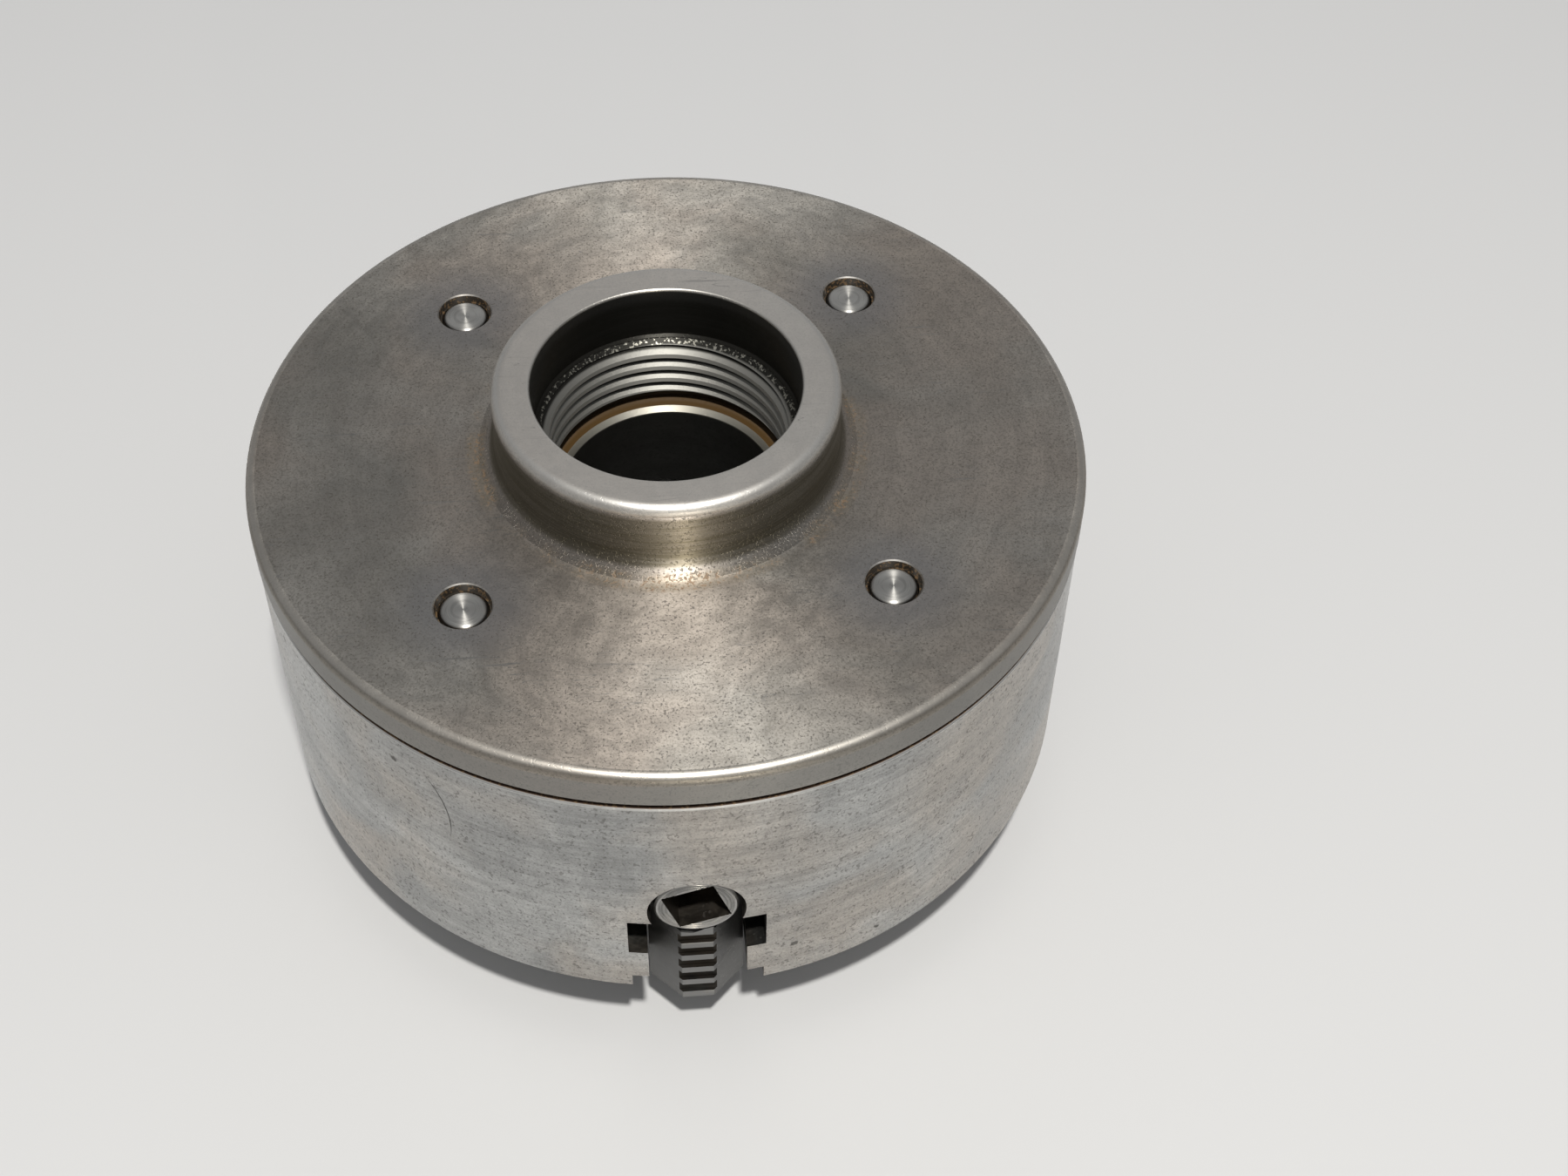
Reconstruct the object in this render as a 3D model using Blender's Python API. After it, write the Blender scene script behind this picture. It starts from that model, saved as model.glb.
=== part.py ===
"""Four-jaw independent lathe chuck, 100 mm, standing on the noses of its jaws.

Frame: the spindle axis is +Z, the threaded hub is up, z = 0 is the plane that the jaws stand
on, and jaw 1 points along -Y. Every radial piece is drawn in its slot's own frame: +X outward
along the slot, +Y across it, +Z towards the hub.
"""
import math

import bmesh
import bpy
from mathutils import Matrix

MM = 0.001
TAU = 2.0 * math.pi

# Driving dimensions, in millimetres. GAP is the clearance between fitted pieces, EDGE a broken
# edge, and PAST how far a cutter runs on beyond the surface that it opens.
BODY_R = 49.9
BODY_FRONT_Z = 12.0
BODY_REAR_Z = 48.7
BODY_RIM_Z = 48.3
SEAM_DEPTH = 1.0
FLANGE_R = 50.0
FLANGE_FRONT_Z = 49.0
FLANGE_REAR_Z = 53.9
PLATE_EDGE = 0.2
RIM_ROUND = 1.2
HUB_R = 20.5
HUB_TOP_Z = 63.7
HUB_ROUND = 1.3
HUB_FILLET = 2.8
REGISTER_R = 15.9
REGISTER_FLOOR_Z = 56.2
THREAD_MINOR_R = 14.15
THREAD_MAJOR_R = 15.2
THREAD_PITCH = 2.0
THREAD_MOUTH_WIDTH = 0.92 * THREAD_PITCH
THREAD_FLOOR_WIDTH = 0.10 * THREAD_PITCH
RELIEF_R = 15.3
RELIEF_TOP_Z = 48.3
SPIGOT_R = 24.0
RECESS_FLOOR_Z = 46.3
BORE_R = 13.1
BORE_LIP_R = 13.4
BORE_LIP_DEPTH = 1.2
GAP = 0.3
EDGE = 0.3
PAST = 1.0

SLOT_HALF = 5.8
SLOT_MOUTH_HALF = 7.8
SLOT_MOUTH_Z = 14.3
TEE_HALF = 8.05
TEE_LOW_Z = 19.4
TEE_HIGH_Z = 25.7
SCREW_AXIS_Z = 27.9
SCREW_HOLE_R = 5.7
SCREW_HOLE_SIDES = 24

JAW_REST_R = 14.0
JAW_LENGTH = 35.0
JAW_HALF = 5.62
TONGUE_HALF = 7.85
TONGUE_LOW_Z = 19.6
TONGUE_HIGH_Z = 25.5
LAND_HALF = 1.87
STEP_HEIGHT = 4.05
STEP_LENGTH = 12.0
STEP_LAP = 2.0
GRIP_PITCH = 2.7
GRIP_WIDTH = 1.6
GRIP_DEPTH = 0.9
GRIP_FIRST = 1.2
GRIP_HALF = 4.0
OUTER_GRIPS = 5
INNER_GRIPS = 4
NUT_CREST_R = 5.1
NUT_ROOT_R = 5.68

SCREW_HEAD_R = 4.9
SCREW_END_R = 49.1
SCREW_HEAD_LENGTH = 7.7
SCREW_NECK_R = 2.8
SCREW_NECK_LENGTH = 5.8
SCREW_THREAD_LENGTH = 18.5
SCREW_CREST_R = 5.4
SCREW_ROOT_R = 4.55
SCREW_PITCH = 2.5
RIDGE_ROOT_WIDTH = 0.58 * SCREW_PITCH
RIDGE_CREST_WIDTH = 0.32 * SCREW_PITCH
NUT_ROOT_WIDTH = 0.72 * SCREW_PITCH
NUT_CREST_WIDTH = 0.50 * SCREW_PITCH
SOCKET_FLATS = 6.35
SOCKET_DEPTH = 7.0
SOCKET_CORNER_DEG = 64.0

BLOCK_HALF = 5.1
BLOCK_THICK = 5.2
BLOCK_LOW_Z = 28.2
BLOCK_HIGH_Z = 48.4
BLOCK_NOTCH_R = 3.1

CAP_CIRCLE_R = 34.35
CAP_SHANK_R = 3.0
CAP_HEAD_R = 5.0
CAP_COUNTERBORE_R = 5.4
CAP_SEAT_Z = 18.4
CAP_HEAD_Z = 12.4
CAP_TIP_Z = 53.3
CAP_TIP_R = 2.25
CAP_HEX_FLATS = 5.0
CAP_HEX_DEPTH = 3.0

RING_SIDES = 48
THREAD_SIDES = 12
CORE_SIDES = 16
CORE_PHASE = 0.37
CAP_SIDES = 20
SPINDLE_THREAD_SIDES = 24
JAW_ANGLES = [math.radians(a) for a in (-90.0, 0.0, 90.0, 180.0)]
CAP_ANGLES = [math.radians(a) for a in (-45.0, 45.0, 135.0, 225.0)]


# --- helpers ---------------------------------------------------------------------------

def clear_scene():
    for obj in list(bpy.data.objects):
        bpy.data.objects.remove(obj, do_unlink=True)


def steel(name, color, roughness):
    material = bpy.data.materials.new(name)
    material.use_nodes = True
    shader = material.node_tree.nodes["Principled BSDF"]
    shader.inputs["Base Color"].default_value = (*color, 1.0)
    shader.inputs["Roughness"].default_value = roughness
    shader.inputs["Metallic"].default_value = 1.0
    return material


def new_object(name, bm, material=None):
    """Make an object of a bmesh that was drawn in millimetres."""
    bmesh.ops.scale(bm, vec=(MM, MM, MM), verts=bm.verts)
    bmesh.ops.recalc_face_normals(bm, faces=bm.faces)
    mesh = bpy.data.meshes.new(name)
    bm.to_mesh(mesh)
    bm.free()
    if material:
        mesh.materials.append(material)
    obj = bpy.data.objects.new(name, mesh)
    bpy.context.scene.collection.objects.link(obj)
    return obj


def smooth(obj):
    obj.data.shade_smooth()
    obj.data.set_sharp_from_angle(angle=math.radians(30.0))


def arc(centre_r, centre_z, radius, start_deg, end_deg, steps):
    """Points of a profile's rounding, as (r, z)."""
    points = []
    for i in range(steps + 1):
        a = math.radians(start_deg + (end_deg - start_deg) * i / steps)
        points.append((centre_r + radius * math.cos(a), centre_z + radius * math.sin(a)))
    return points


def turned(profile, sides, axis="Z", phase=0.0):
    """Spin a closed (r, along) outline about Z or X; points at r = 0 close on the axis.

    phase turns the facets by a share of one side.
    """
    bm = bmesh.new()
    rings = []
    for r, along in profile:
        if r < 1e-6:
            rings.append([bm.verts.new((0.0, 0.0, along))])
            continue
        ring = []
        for i in range(sides):
            a = TAU * (i + phase) / sides
            ring.append(bm.verts.new((r * math.cos(a), r * math.sin(a), along)))
        rings.append(ring)
    closed = all(r > 1e-6 for r, _ in profile)
    pairs = list(zip(rings, rings[1:]))
    if closed:
        pairs.append((rings[-1], rings[0]))
    for low, high in pairs:
        for i in range(sides):
            j = (i + 1) % sides
            corners = [low[i % len(low)], low[j % len(low)], high[j % len(high)], high[i % len(high)]]
            unique = []
            for vert in corners:
                if vert not in unique:
                    unique.append(vert)
            if len(unique) > 2:
                bm.faces.new(unique)
    if axis == "X":
        bmesh.ops.rotate(bm, matrix=Matrix.Rotation(math.pi / 2.0, 3, "Y"), verts=bm.verts)
    return bm


def helix(profile, pitch, turns, sides, hand, start=0.0):
    """Sweep a closed (r, along) tooth outline about X; hand is +1 for right, -1 for left."""
    bm = bmesh.new()
    rings = []
    for k in range(int(round(turns * sides)) + 1):
        a = hand * TAU * k / sides
        shift = start + pitch * k / sides
        ring = []
        for r, along in profile:
            ring.append(bm.verts.new((along + shift, r * math.cos(a), r * math.sin(a))))
        rings.append(ring)
    count = len(profile)
    for low, high in zip(rings, rings[1:]):
        for i in range(count):
            j = (i + 1) % count
            bm.faces.new((low[i], low[j], high[j], high[i]))
    bm.faces.new(rings[0])
    bm.faces.new(list(reversed(rings[-1])))
    return bm


def block(x0, x1, y0, y1, z0, z1):
    """A box between two corners."""
    bm = bmesh.new()
    bmesh.ops.create_cube(bm, size=1.0)
    bmesh.ops.scale(bm, vec=(x1 - x0, y1 - y0, z1 - z0), verts=bm.verts)
    middle = ((x0 + x1) / 2.0, (y0 + y1) / 2.0, (z0 + z1) / 2.0)
    bmesh.ops.translate(bm, vec=middle, verts=bm.verts)
    return bm


def prism(outline, z0, z1):
    """Extrude an (x, y) outline from z0 to z1."""
    bm = bmesh.new()
    face = bm.faces.new([bm.verts.new((x, y, z0)) for x, y in outline])
    result = bmesh.ops.extrude_face_region(bm, geom=[face])
    verts = [item for item in result["geom"] if isinstance(item, bmesh.types.BMVert)]
    bmesh.ops.translate(bm, vec=(0.0, 0.0, z1 - z0), verts=verts)
    return bm


def tool(name, bm):
    """A hidden guide for a boolean."""
    obj = new_object(name, bm)
    obj.hide_render = True
    obj.display_type = "WIRE"
    return obj


def combine(obj, tools, operation):
    """Apply exact booleans to obj and remove the guides."""
    for guide in tools:
        modifier = obj.modifiers.new(guide.name, "BOOLEAN")
        modifier.operation = operation
        modifier.solver = "EXACT"
        modifier.object = guide
    bpy.context.view_layer.update()
    graph = bpy.context.evaluated_depsgraph_get()
    mesh = bpy.data.meshes.new_from_object(obj.evaluated_get(graph))
    obj.modifiers.clear()
    obj.data = mesh
    for guide in tools:
        bpy.data.objects.remove(guide, do_unlink=True)


def in_slot(bm, angle):
    """Turn a slot-frame bmesh to its slot's direction."""
    bmesh.ops.rotate(bm, matrix=Matrix.Rotation(angle, 3, "Z"), verts=bm.verts)
    return bm


def place(mesh_owner, name, angle, radius, height):
    """A further object of the same mesh, on its own slot or hole axis."""
    obj = bpy.data.objects.new(name, mesh_owner.data)
    bpy.context.scene.collection.objects.link(obj)
    obj.location = (radius * math.cos(angle) * MM, radius * math.sin(angle) * MM, height * MM)
    obj.rotation_euler = (0.0, 0.0, angle)
    return obj


def repeat(first, stem, angles, radius, height):
    """Name the first piece stem_1, place it, and add its fellows round the axis."""
    for number, angle in enumerate(angles, 1):
        place(first, "%s_%d" % (stem, number), angle, radius, height)
    bpy.data.objects.remove(first, do_unlink=True)


def tooth(root_r, crest_r, root_width, crest_width):
    """A thread tooth's outline, its root a little inside the core."""
    return [(root_r, -root_width / 2.0), (crest_r, -crest_width / 2.0),
            (crest_r, crest_width / 2.0), (root_r, root_width / 2.0)]


# --- body and back plate ---------------------------------------------------------------

def rod_tool(radius, start, end, sides, phase=0.0):
    """A round cutter along X."""
    return turned([(0.0, start), (radius, start), (radius, end), (0.0, end)], sides, "X", phase)


def body_outline():
    """The body's turned section, from the front face up the outside and down the bore."""
    return [(BORE_R, BODY_FRONT_Z), (BODY_R - EDGE, BODY_FRONT_Z), (BODY_R, BODY_FRONT_Z + EDGE),
            (BODY_R, BODY_RIM_Z - EDGE), (BODY_R - EDGE, BODY_RIM_Z),
            (BODY_R - SEAM_DEPTH, BODY_RIM_Z), (BODY_R - SEAM_DEPTH, BODY_REAR_Z),
            (SPIGOT_R + GAP, BODY_REAR_Z), (SPIGOT_R + GAP, RECESS_FLOOR_Z),
            (BORE_LIP_R, RECESS_FLOOR_Z), (BORE_R, RECESS_FLOOR_Z - BORE_LIP_DEPTH)]


def slot_tools(number, angle):
    """Everything that one jaw's slot takes out of the body, each cutter with ends of its own."""
    out = BODY_R + 3.0 * PAST
    inner = BORE_R - 4.0 * PAST
    low = BODY_FRONT_Z - PAST
    shapes = [block(inner, out, -SLOT_MOUTH_HALF, SLOT_MOUTH_HALF, low, SLOT_MOUTH_Z),
              block(inner, out, -SLOT_HALF, SLOT_HALF, low + 0.2 * PAST, TEE_HIGH_Z - PAST),
              block(inner - 0.5 * PAST, out + 0.5 * PAST, -TEE_HALF, TEE_HALF, TEE_LOW_Z, TEE_HIGH_Z)]
    hole = rod_tool(SCREW_HOLE_R, inner - PAST, out + PAST, SCREW_HOLE_SIDES)
    bmesh.ops.translate(hole, vec=(0.0, 0.0, SCREW_AXIS_Z), verts=hole.verts)
    shapes.append(hole)
    neck = block_centre()
    half = BLOCK_THICK / 2.0 + GAP
    wide = BLOCK_HALF + GAP
    shapes.append(block(neck - half, neck + half, -wide, wide, BLOCK_LOW_Z - GAP, BODY_REAR_Z + PAST))
    return [tool("slot_%d_%d" % (number, i), in_slot(bm, angle)) for i, bm in enumerate(shapes)]


def cap_hole_tool(low, seat, top, number, angle):
    """A clearance hole for a cap screw, with its counterbore where there is a seat."""
    outline = [(0.0, low), (CAP_SHANK_R + GAP, low), (CAP_SHANK_R + GAP, top), (0.0, top)]
    if seat:
        outline = [(0.0, low), (CAP_COUNTERBORE_R, low), (CAP_COUNTERBORE_R, seat),
                   (CAP_SHANK_R + GAP, seat), (CAP_SHANK_R + GAP, top), (0.0, top)]
    bm = turned(outline, CAP_SIDES)
    centre = (CAP_CIRCLE_R * math.cos(angle), CAP_CIRCLE_R * math.sin(angle), 0.0)
    bmesh.ops.translate(bm, vec=centre, verts=bm.verts)
    return tool("cap_hole_%d" % number, bm)


def make_body(material):
    body = new_object("chuck_body", turned(body_outline(), RING_SIDES), material)
    tools = []
    for number, angle in enumerate(JAW_ANGLES, 1):
        tools += slot_tools(number, angle)
    for number, angle in enumerate(CAP_ANGLES, 1):
        tools.append(cap_hole_tool(BODY_FRONT_Z - PAST, CAP_SEAT_Z + GAP, BODY_REAR_Z + PAST, number, angle))
    combine(body, tools, "DIFFERENCE")
    smooth(body)


def plate_outline():
    """The back plate's turned section: spigot, flange, hub fillet, hub, register and bore."""
    outline = [(RELIEF_R, RECESS_FLOOR_Z + GAP), (SPIGOT_R, RECESS_FLOOR_Z + GAP),
               (SPIGOT_R, FLANGE_FRONT_Z), (FLANGE_R - PLATE_EDGE, FLANGE_FRONT_Z),
               (FLANGE_R, FLANGE_FRONT_Z + PLATE_EDGE)]
    outline += arc(FLANGE_R - RIM_ROUND, FLANGE_REAR_Z - RIM_ROUND, RIM_ROUND, 0.0, 90.0, 2)
    outline += arc(HUB_R + HUB_FILLET, FLANGE_REAR_Z + HUB_FILLET, HUB_FILLET, 270.0, 180.0, 2)
    outline += arc(HUB_R - HUB_ROUND, HUB_TOP_Z - HUB_ROUND, HUB_ROUND, 0.0, 90.0, 2)
    lead = THREAD_MAJOR_R + PLATE_EDGE
    outline += [(REGISTER_R + EDGE, HUB_TOP_Z), (REGISTER_R, HUB_TOP_Z - EDGE),
                (REGISTER_R, REGISTER_FLOOR_Z), (lead, REGISTER_FLOOR_Z),
                (THREAD_MINOR_R, REGISTER_FLOOR_Z - lead + THREAD_MINOR_R),
                (THREAD_MINOR_R, RELIEF_TOP_Z), (RELIEF_R, RELIEF_TOP_Z - 2.0 * PLATE_EDGE)]
    return outline


def spindle_thread_tool():
    """The internal spindle thread's groove, open into the relief below and the lead-in above."""
    groove = tooth(THREAD_MINOR_R - 0.4, THREAD_MAJOR_R, THREAD_MOUTH_WIDTH, THREAD_FLOOR_WIDTH)
    start = RELIEF_TOP_Z - THREAD_PITCH * 0.8
    turns = (REGISTER_FLOOR_Z + THREAD_PITCH * 0.6 - start) / THREAD_PITCH
    bm = helix(groove, THREAD_PITCH, turns, SPINDLE_THREAD_SIDES, 1, start)
    bmesh.ops.rotate(bm, matrix=Matrix.Rotation(-math.pi / 2.0, 3, "Y"), verts=bm.verts)
    return tool("spindle_thread", bm)


def make_back_plate(material):
    plate = new_object("back_plate", turned(plate_outline(), RING_SIDES), material)
    low = FLANGE_FRONT_Z - PAST
    tools = [spindle_thread_tool()]
    for number, angle in enumerate(CAP_ANGLES, 1):
        tools.append(cap_hole_tool(low, 0.0, FLANGE_REAR_Z + PAST, number, angle))
    combine(plate, tools, "DIFFERENCE")
    smooth(plate)


# --- jaws and their screws -------------------------------------------------------------

def jaw_plan(x0, x1, half):
    """A bar seen from above, with a blunt 90-degree nose at each end."""
    nose = half - LAND_HALF
    return [(x0, -LAND_HALF), (x0 + nose, -half), (x1 - nose, -half), (x1, -LAND_HALF),
            (x1, LAND_HALF), (x1 - nose, half), (x0 + nose, half), (x0, LAND_HALF)]


def grip_tools():
    """The grooves across the outer land and the inner nose."""
    tools = []
    outer = (JAW_LENGTH - GRIP_DEPTH, JAW_LENGTH + PAST, 2.0 * STEP_HEIGHT + GRIP_FIRST)
    inner = (-PAST, GRIP_DEPTH, GRIP_FIRST)
    for count, (x0, x1, first) in ((OUTER_GRIPS, outer), (INNER_GRIPS, inner)):
        for i in range(count):
            z = first + GRIP_PITCH * i
            bm = block(x0, x1, -GRIP_HALF, GRIP_HALF, z, z + GRIP_WIDTH)
            tools.append(tool("grip_%d_%d" % (count, i), bm))
    return tools


def nut_tools():
    """The half nut in the jaw's back: a trough with a left-hand thread, longer than the jaw."""
    trough = rod_tool(NUT_CREST_R, -2.0 * PAST, JAW_LENGTH + 2.0 * PAST, CORE_SIDES, CORE_PHASE)
    groove = tooth(NUT_CREST_R - 1.1, NUT_ROOT_R, NUT_ROOT_WIDTH, NUT_CREST_WIDTH)
    turns = JAW_LENGTH / SCREW_PITCH + 3.0
    start = ridge_start() - JAW_REST_R - 4.0 * SCREW_PITCH
    thread = helix(groove, SCREW_PITCH, turns, THREAD_SIDES, -1, start)
    tools = []
    for name, bm in (("trough", trough), ("thread", thread)):
        bmesh.ops.translate(bm, vec=(0.0, 0.0, SCREW_AXIS_Z), verts=bm.verts)
        tools.append(tool(name, bm))
    return tools


def ridge_start():
    """The radius where the screw's thread starts, half a pitch from its inner end."""
    return screw_inner_end() + 0.5 * SCREW_PITCH


def screw_inner_end():
    return SCREW_END_R - SCREW_HEAD_LENGTH - SCREW_NECK_LENGTH - SCREW_THREAD_LENGTH


def block_centre():
    return SCREW_END_R - SCREW_HEAD_LENGTH - SCREW_NECK_LENGTH / 2.0


def make_jaws(material):
    """Three steps, a T tongue that slides in the body, and a half nut in its back."""
    jaw = new_object("jaw", prism(jaw_plan(0.0, JAW_LENGTH, JAW_HALF), 2.0 * STEP_HEIGHT, TONGUE_HIGH_Z),
                     material)
    pieces = [prism(jaw_plan(0.0, JAW_LENGTH, TONGUE_HALF), TONGUE_LOW_Z, TONGUE_HIGH_Z),
              prism(jaw_plan(0.0, JAW_LENGTH - STEP_LENGTH, JAW_HALF), STEP_HEIGHT,
                    2.0 * STEP_HEIGHT + STEP_LAP),
              prism(jaw_plan(0.0, JAW_LENGTH - 2.0 * STEP_LENGTH, JAW_HALF), 0.0, STEP_HEIGHT + STEP_LAP)]
    combine(jaw, [tool("step_%d" % i, bm) for i, bm in enumerate(pieces)], "UNION")
    combine(jaw, nut_tools() + grip_tools(), "DIFFERENCE")
    smooth(jaw)
    repeat(jaw, "jaw", JAW_ANGLES, JAW_REST_R, 0.0)


def make_jaw_screws(material):
    """A left-hand screw held by its neck: turning it clockwise draws its jaw inward."""
    end = SCREW_END_R
    inner = screw_inner_end() - end
    neck_in = inner + SCREW_THREAD_LENGTH
    neck_out = neck_in + SCREW_NECK_LENGTH
    outline = [(0.0, inner), (SCREW_ROOT_R - 0.5, inner), (SCREW_ROOT_R, inner + 0.5),
               (SCREW_ROOT_R, neck_in), (SCREW_NECK_R, neck_in), (SCREW_NECK_R, neck_out),
               (SCREW_HEAD_R, neck_out), (SCREW_HEAD_R, -EDGE), (SCREW_HEAD_R - 0.2, 0.0), (0.0, 0.0)]
    screw = new_object("jaw_screw", turned(outline, CORE_SIDES, "X", CORE_PHASE), material)
    ridge = tooth(SCREW_ROOT_R - 0.3, SCREW_CREST_R, RIDGE_ROOT_WIDTH, RIDGE_CREST_WIDTH)
    turns = SCREW_THREAD_LENGTH / SCREW_PITCH - 1.0
    thread = helix(ridge, SCREW_PITCH, turns, THREAD_SIDES, -1, ridge_start() - end)
    combine(screw, [tool("ridge", thread)], "UNION")
    half = SOCKET_FLATS / 2.0
    socket = block(-SOCKET_DEPTH, PAST, -half, half, -half, half)
    turn = math.radians(SOCKET_CORNER_DEG - 45.0)
    bmesh.ops.rotate(socket, matrix=Matrix.Rotation(turn, 3, "X"), verts=socket.verts)
    combine(screw, [tool("socket", socket)], "DIFFERENCE")
    smooth(screw)
    repeat(screw, "jaw_screw", JAW_ANGLES, SCREW_END_R, SCREW_AXIS_Z)


def make_thrust_blocks(material):
    """A block let in from the back of the body, whose half-round notch sits over a screw's neck."""
    low = BLOCK_LOW_Z - SCREW_AXIS_Z
    high = BLOCK_HIGH_Z - SCREW_AXIS_Z
    half = BLOCK_THICK / 2.0
    thrust = new_object("thrust_block", block(-half, half, -BLOCK_HALF, BLOCK_HALF, low, high), material)
    notch = rod_tool(BLOCK_NOTCH_R, -half - PAST, half + PAST, SCREW_HOLE_SIDES)
    combine(thrust, [tool("notch", notch)], "DIFFERENCE")
    repeat(thrust, "thrust_block", JAW_ANGLES, block_centre(), SCREW_AXIS_Z)


def make_cap_screws(material):
    """Socket cap screws from the front face, whose ends show in the back plate."""
    tip = CAP_SHANK_R - CAP_TIP_R
    outline = [(0.0, CAP_HEAD_Z), (CAP_HEAD_R - 0.4, CAP_HEAD_Z), (CAP_HEAD_R, CAP_HEAD_Z + 0.4),
               (CAP_HEAD_R, CAP_SEAT_Z), (CAP_SHANK_R, CAP_SEAT_Z), (CAP_SHANK_R, CAP_TIP_Z - tip),
               (CAP_TIP_R, CAP_TIP_Z), (0.0, CAP_TIP_Z)]
    cap = new_object("cap_screw", turned(outline, CAP_SIDES), material)
    corner = CAP_HEX_FLATS / math.sqrt(3.0)
    hexagon = turned([(0.0, CAP_HEAD_Z - PAST), (corner, CAP_HEAD_Z - PAST),
                      (corner, CAP_HEAD_Z + CAP_HEX_DEPTH), (0.0, CAP_HEAD_Z + CAP_HEX_DEPTH)], 6)
    combine(cap, [tool("hexagon", hexagon)], "DIFFERENCE")
    smooth(cap)
    repeat(cap, "cap_screw", CAP_ANGLES, CAP_CIRCLE_R, 0.0)


def main():
    clear_scene()
    make_body(steel("body_steel", (0.42, 0.41, 0.39), 0.38))
    make_back_plate(steel("plate_steel", (0.30, 0.28, 0.26), 0.42))
    make_jaws(steel("jaw_steel", (0.22, 0.22, 0.22), 0.40))
    make_jaw_screws(steel("screw_steel", (0.30, 0.30, 0.30), 0.38))
    make_thrust_blocks(steel("block_steel", (0.33, 0.33, 0.33), 0.45))
    make_cap_screws(steel("cap_steel", (0.16, 0.15, 0.15), 0.42))


main()
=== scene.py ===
# %% [markdown]
# # A small four-jaw lathe chuck, standing on its jaws
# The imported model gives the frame: its bodies, its joints and plain faceted solids. This script
# loads it, builds a finely turned and milled piece for each visible solid, and gives every piece
# the aged steel that such a tool has: turning grain, pitting, stains, rust and worn edges.

# %% Load the frame
import math

import bmesh
import bpy
from mathutils import Matrix, Vector


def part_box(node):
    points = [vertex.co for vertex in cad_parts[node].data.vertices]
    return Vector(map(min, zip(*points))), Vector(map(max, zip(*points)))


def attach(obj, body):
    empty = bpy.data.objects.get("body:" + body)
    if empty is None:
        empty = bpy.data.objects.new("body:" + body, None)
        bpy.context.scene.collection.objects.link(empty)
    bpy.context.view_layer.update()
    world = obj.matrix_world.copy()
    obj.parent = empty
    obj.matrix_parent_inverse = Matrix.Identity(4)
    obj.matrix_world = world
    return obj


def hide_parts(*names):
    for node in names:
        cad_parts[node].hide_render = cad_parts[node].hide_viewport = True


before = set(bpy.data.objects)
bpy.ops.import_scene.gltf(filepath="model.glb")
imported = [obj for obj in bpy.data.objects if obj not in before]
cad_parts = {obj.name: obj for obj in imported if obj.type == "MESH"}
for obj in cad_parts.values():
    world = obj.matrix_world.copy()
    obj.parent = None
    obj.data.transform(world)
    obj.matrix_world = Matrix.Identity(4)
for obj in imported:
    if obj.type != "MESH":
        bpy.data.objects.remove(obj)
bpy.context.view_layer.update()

# %% [markdown]
# ## Sizes
# Millimetres suit a workshop drawing, so a piece is drawn and cut in them, and scaled once, when
# it is finished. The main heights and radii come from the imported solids. The smaller ones are
# the chuck's own details.

# %% Sizes
MM = 0.001


def box_mm(node):
    low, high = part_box(node)
    return [c / MM for c in low], [c / MM for c in high]


body_low, body_high = box_mm("chuck_body")
plate_low, plate_high = box_mm("back_plate")
jaw_low, jaw_high = box_mm("jaw_2")
screw_low, screw_high = box_mm("jaw_screw_2")
cap_low, cap_high = box_mm("cap_screw_2")

BODY_R = body_high[0]
BODY_FRONT = body_low[2]
BODY_REAR = body_high[2]
SEAM_LOW = 48.3
SEAM_R = BODY_R - 1.0
FLANGE_R = plate_high[0]
FLANGE_FRONT = 49.0
FLANGE_REAR = 53.9
SPIGOT_LOW = plate_low[2]
SPIGOT_R = 24.0
HUB_TOP = plate_high[2]
HUB_R = 20.5
HUB_FOOT = 2.8
REGISTER_R = 15.9
REGISTER_FLOOR = 56.2
THREAD_CREST = 14.15
THREAD_ROOT = 15.2
THREAD_PITCH = 2.0
RELIEF_TOP = 48.4
RECESS_FLOOR = 46.3
BORE_R = 13.1
CAP_CIRCLE = 34.35
CAP_AT = CAP_CIRCLE * math.sqrt(0.5)
CAP_R = 2.85
CAP_TIP = cap_high[2]
SCREW_AXIS = 27.9
SCREW_HOLE_R = 5.7
SCREW_END = screw_high[0]
JAW_INNER = jaw_low[0]
JAW_OUTER = jaw_high[0]
JAW_TOP = jaw_high[2]
LAND_HALF = 1.87
SLOT_TURNS = (-90.0, 0.0, 90.0, 180.0)
print("body %.1f mm, flange %.1f mm, height %.1f mm" % (2 * BODY_R, 2 * FLANGE_R, HUB_TOP))

# %% [markdown]
# ## Camera, floor and light
# The tool lies on a pale sheet. The camera looks down at about 49 degrees, almost in line with
# one jaw. A small lamp stands on the camera's side at 68 degrees, so the shadow under the body
# shows as a dark crisp line in front, and turned steel answers with a bright streak. A weak warm
# lamp low in front draws the streak down the hub's side, and a wide panel at the far side lights
# the back of the flange. The rest is the pale room, as the world's colour.

# %% Camera
CAMERA_PLACE = Vector((-5.8, -190.95, 247.8)) * MM
CAMERA_AIM = Vector((16.66, 22.05, 0.0)) * MM
CAMERA_ROLL = math.radians(1.37)
CAMERA_LENS = 52.1

camera_data = bpy.data.cameras.new("camera")
camera_data.lens = CAMERA_LENS
camera_data.sensor_width = 36.0
camera_data.clip_start = 0.01
camera = bpy.data.objects.new("camera", camera_data)
bpy.context.scene.collection.objects.link(camera)
look = (CAMERA_AIM - CAMERA_PLACE).to_track_quat("-Z", "Y").to_matrix().to_4x4()
camera.matrix_world = Matrix.Translation(CAMERA_PLACE) @ look @ Matrix.Rotation(CAMERA_ROLL, 4, "Z")
bpy.context.scene.camera = camera
print("camera right", [round(c, 4) for c in camera.matrix_world.to_3x3().col[0]])

# %% Lamps and room


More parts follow.
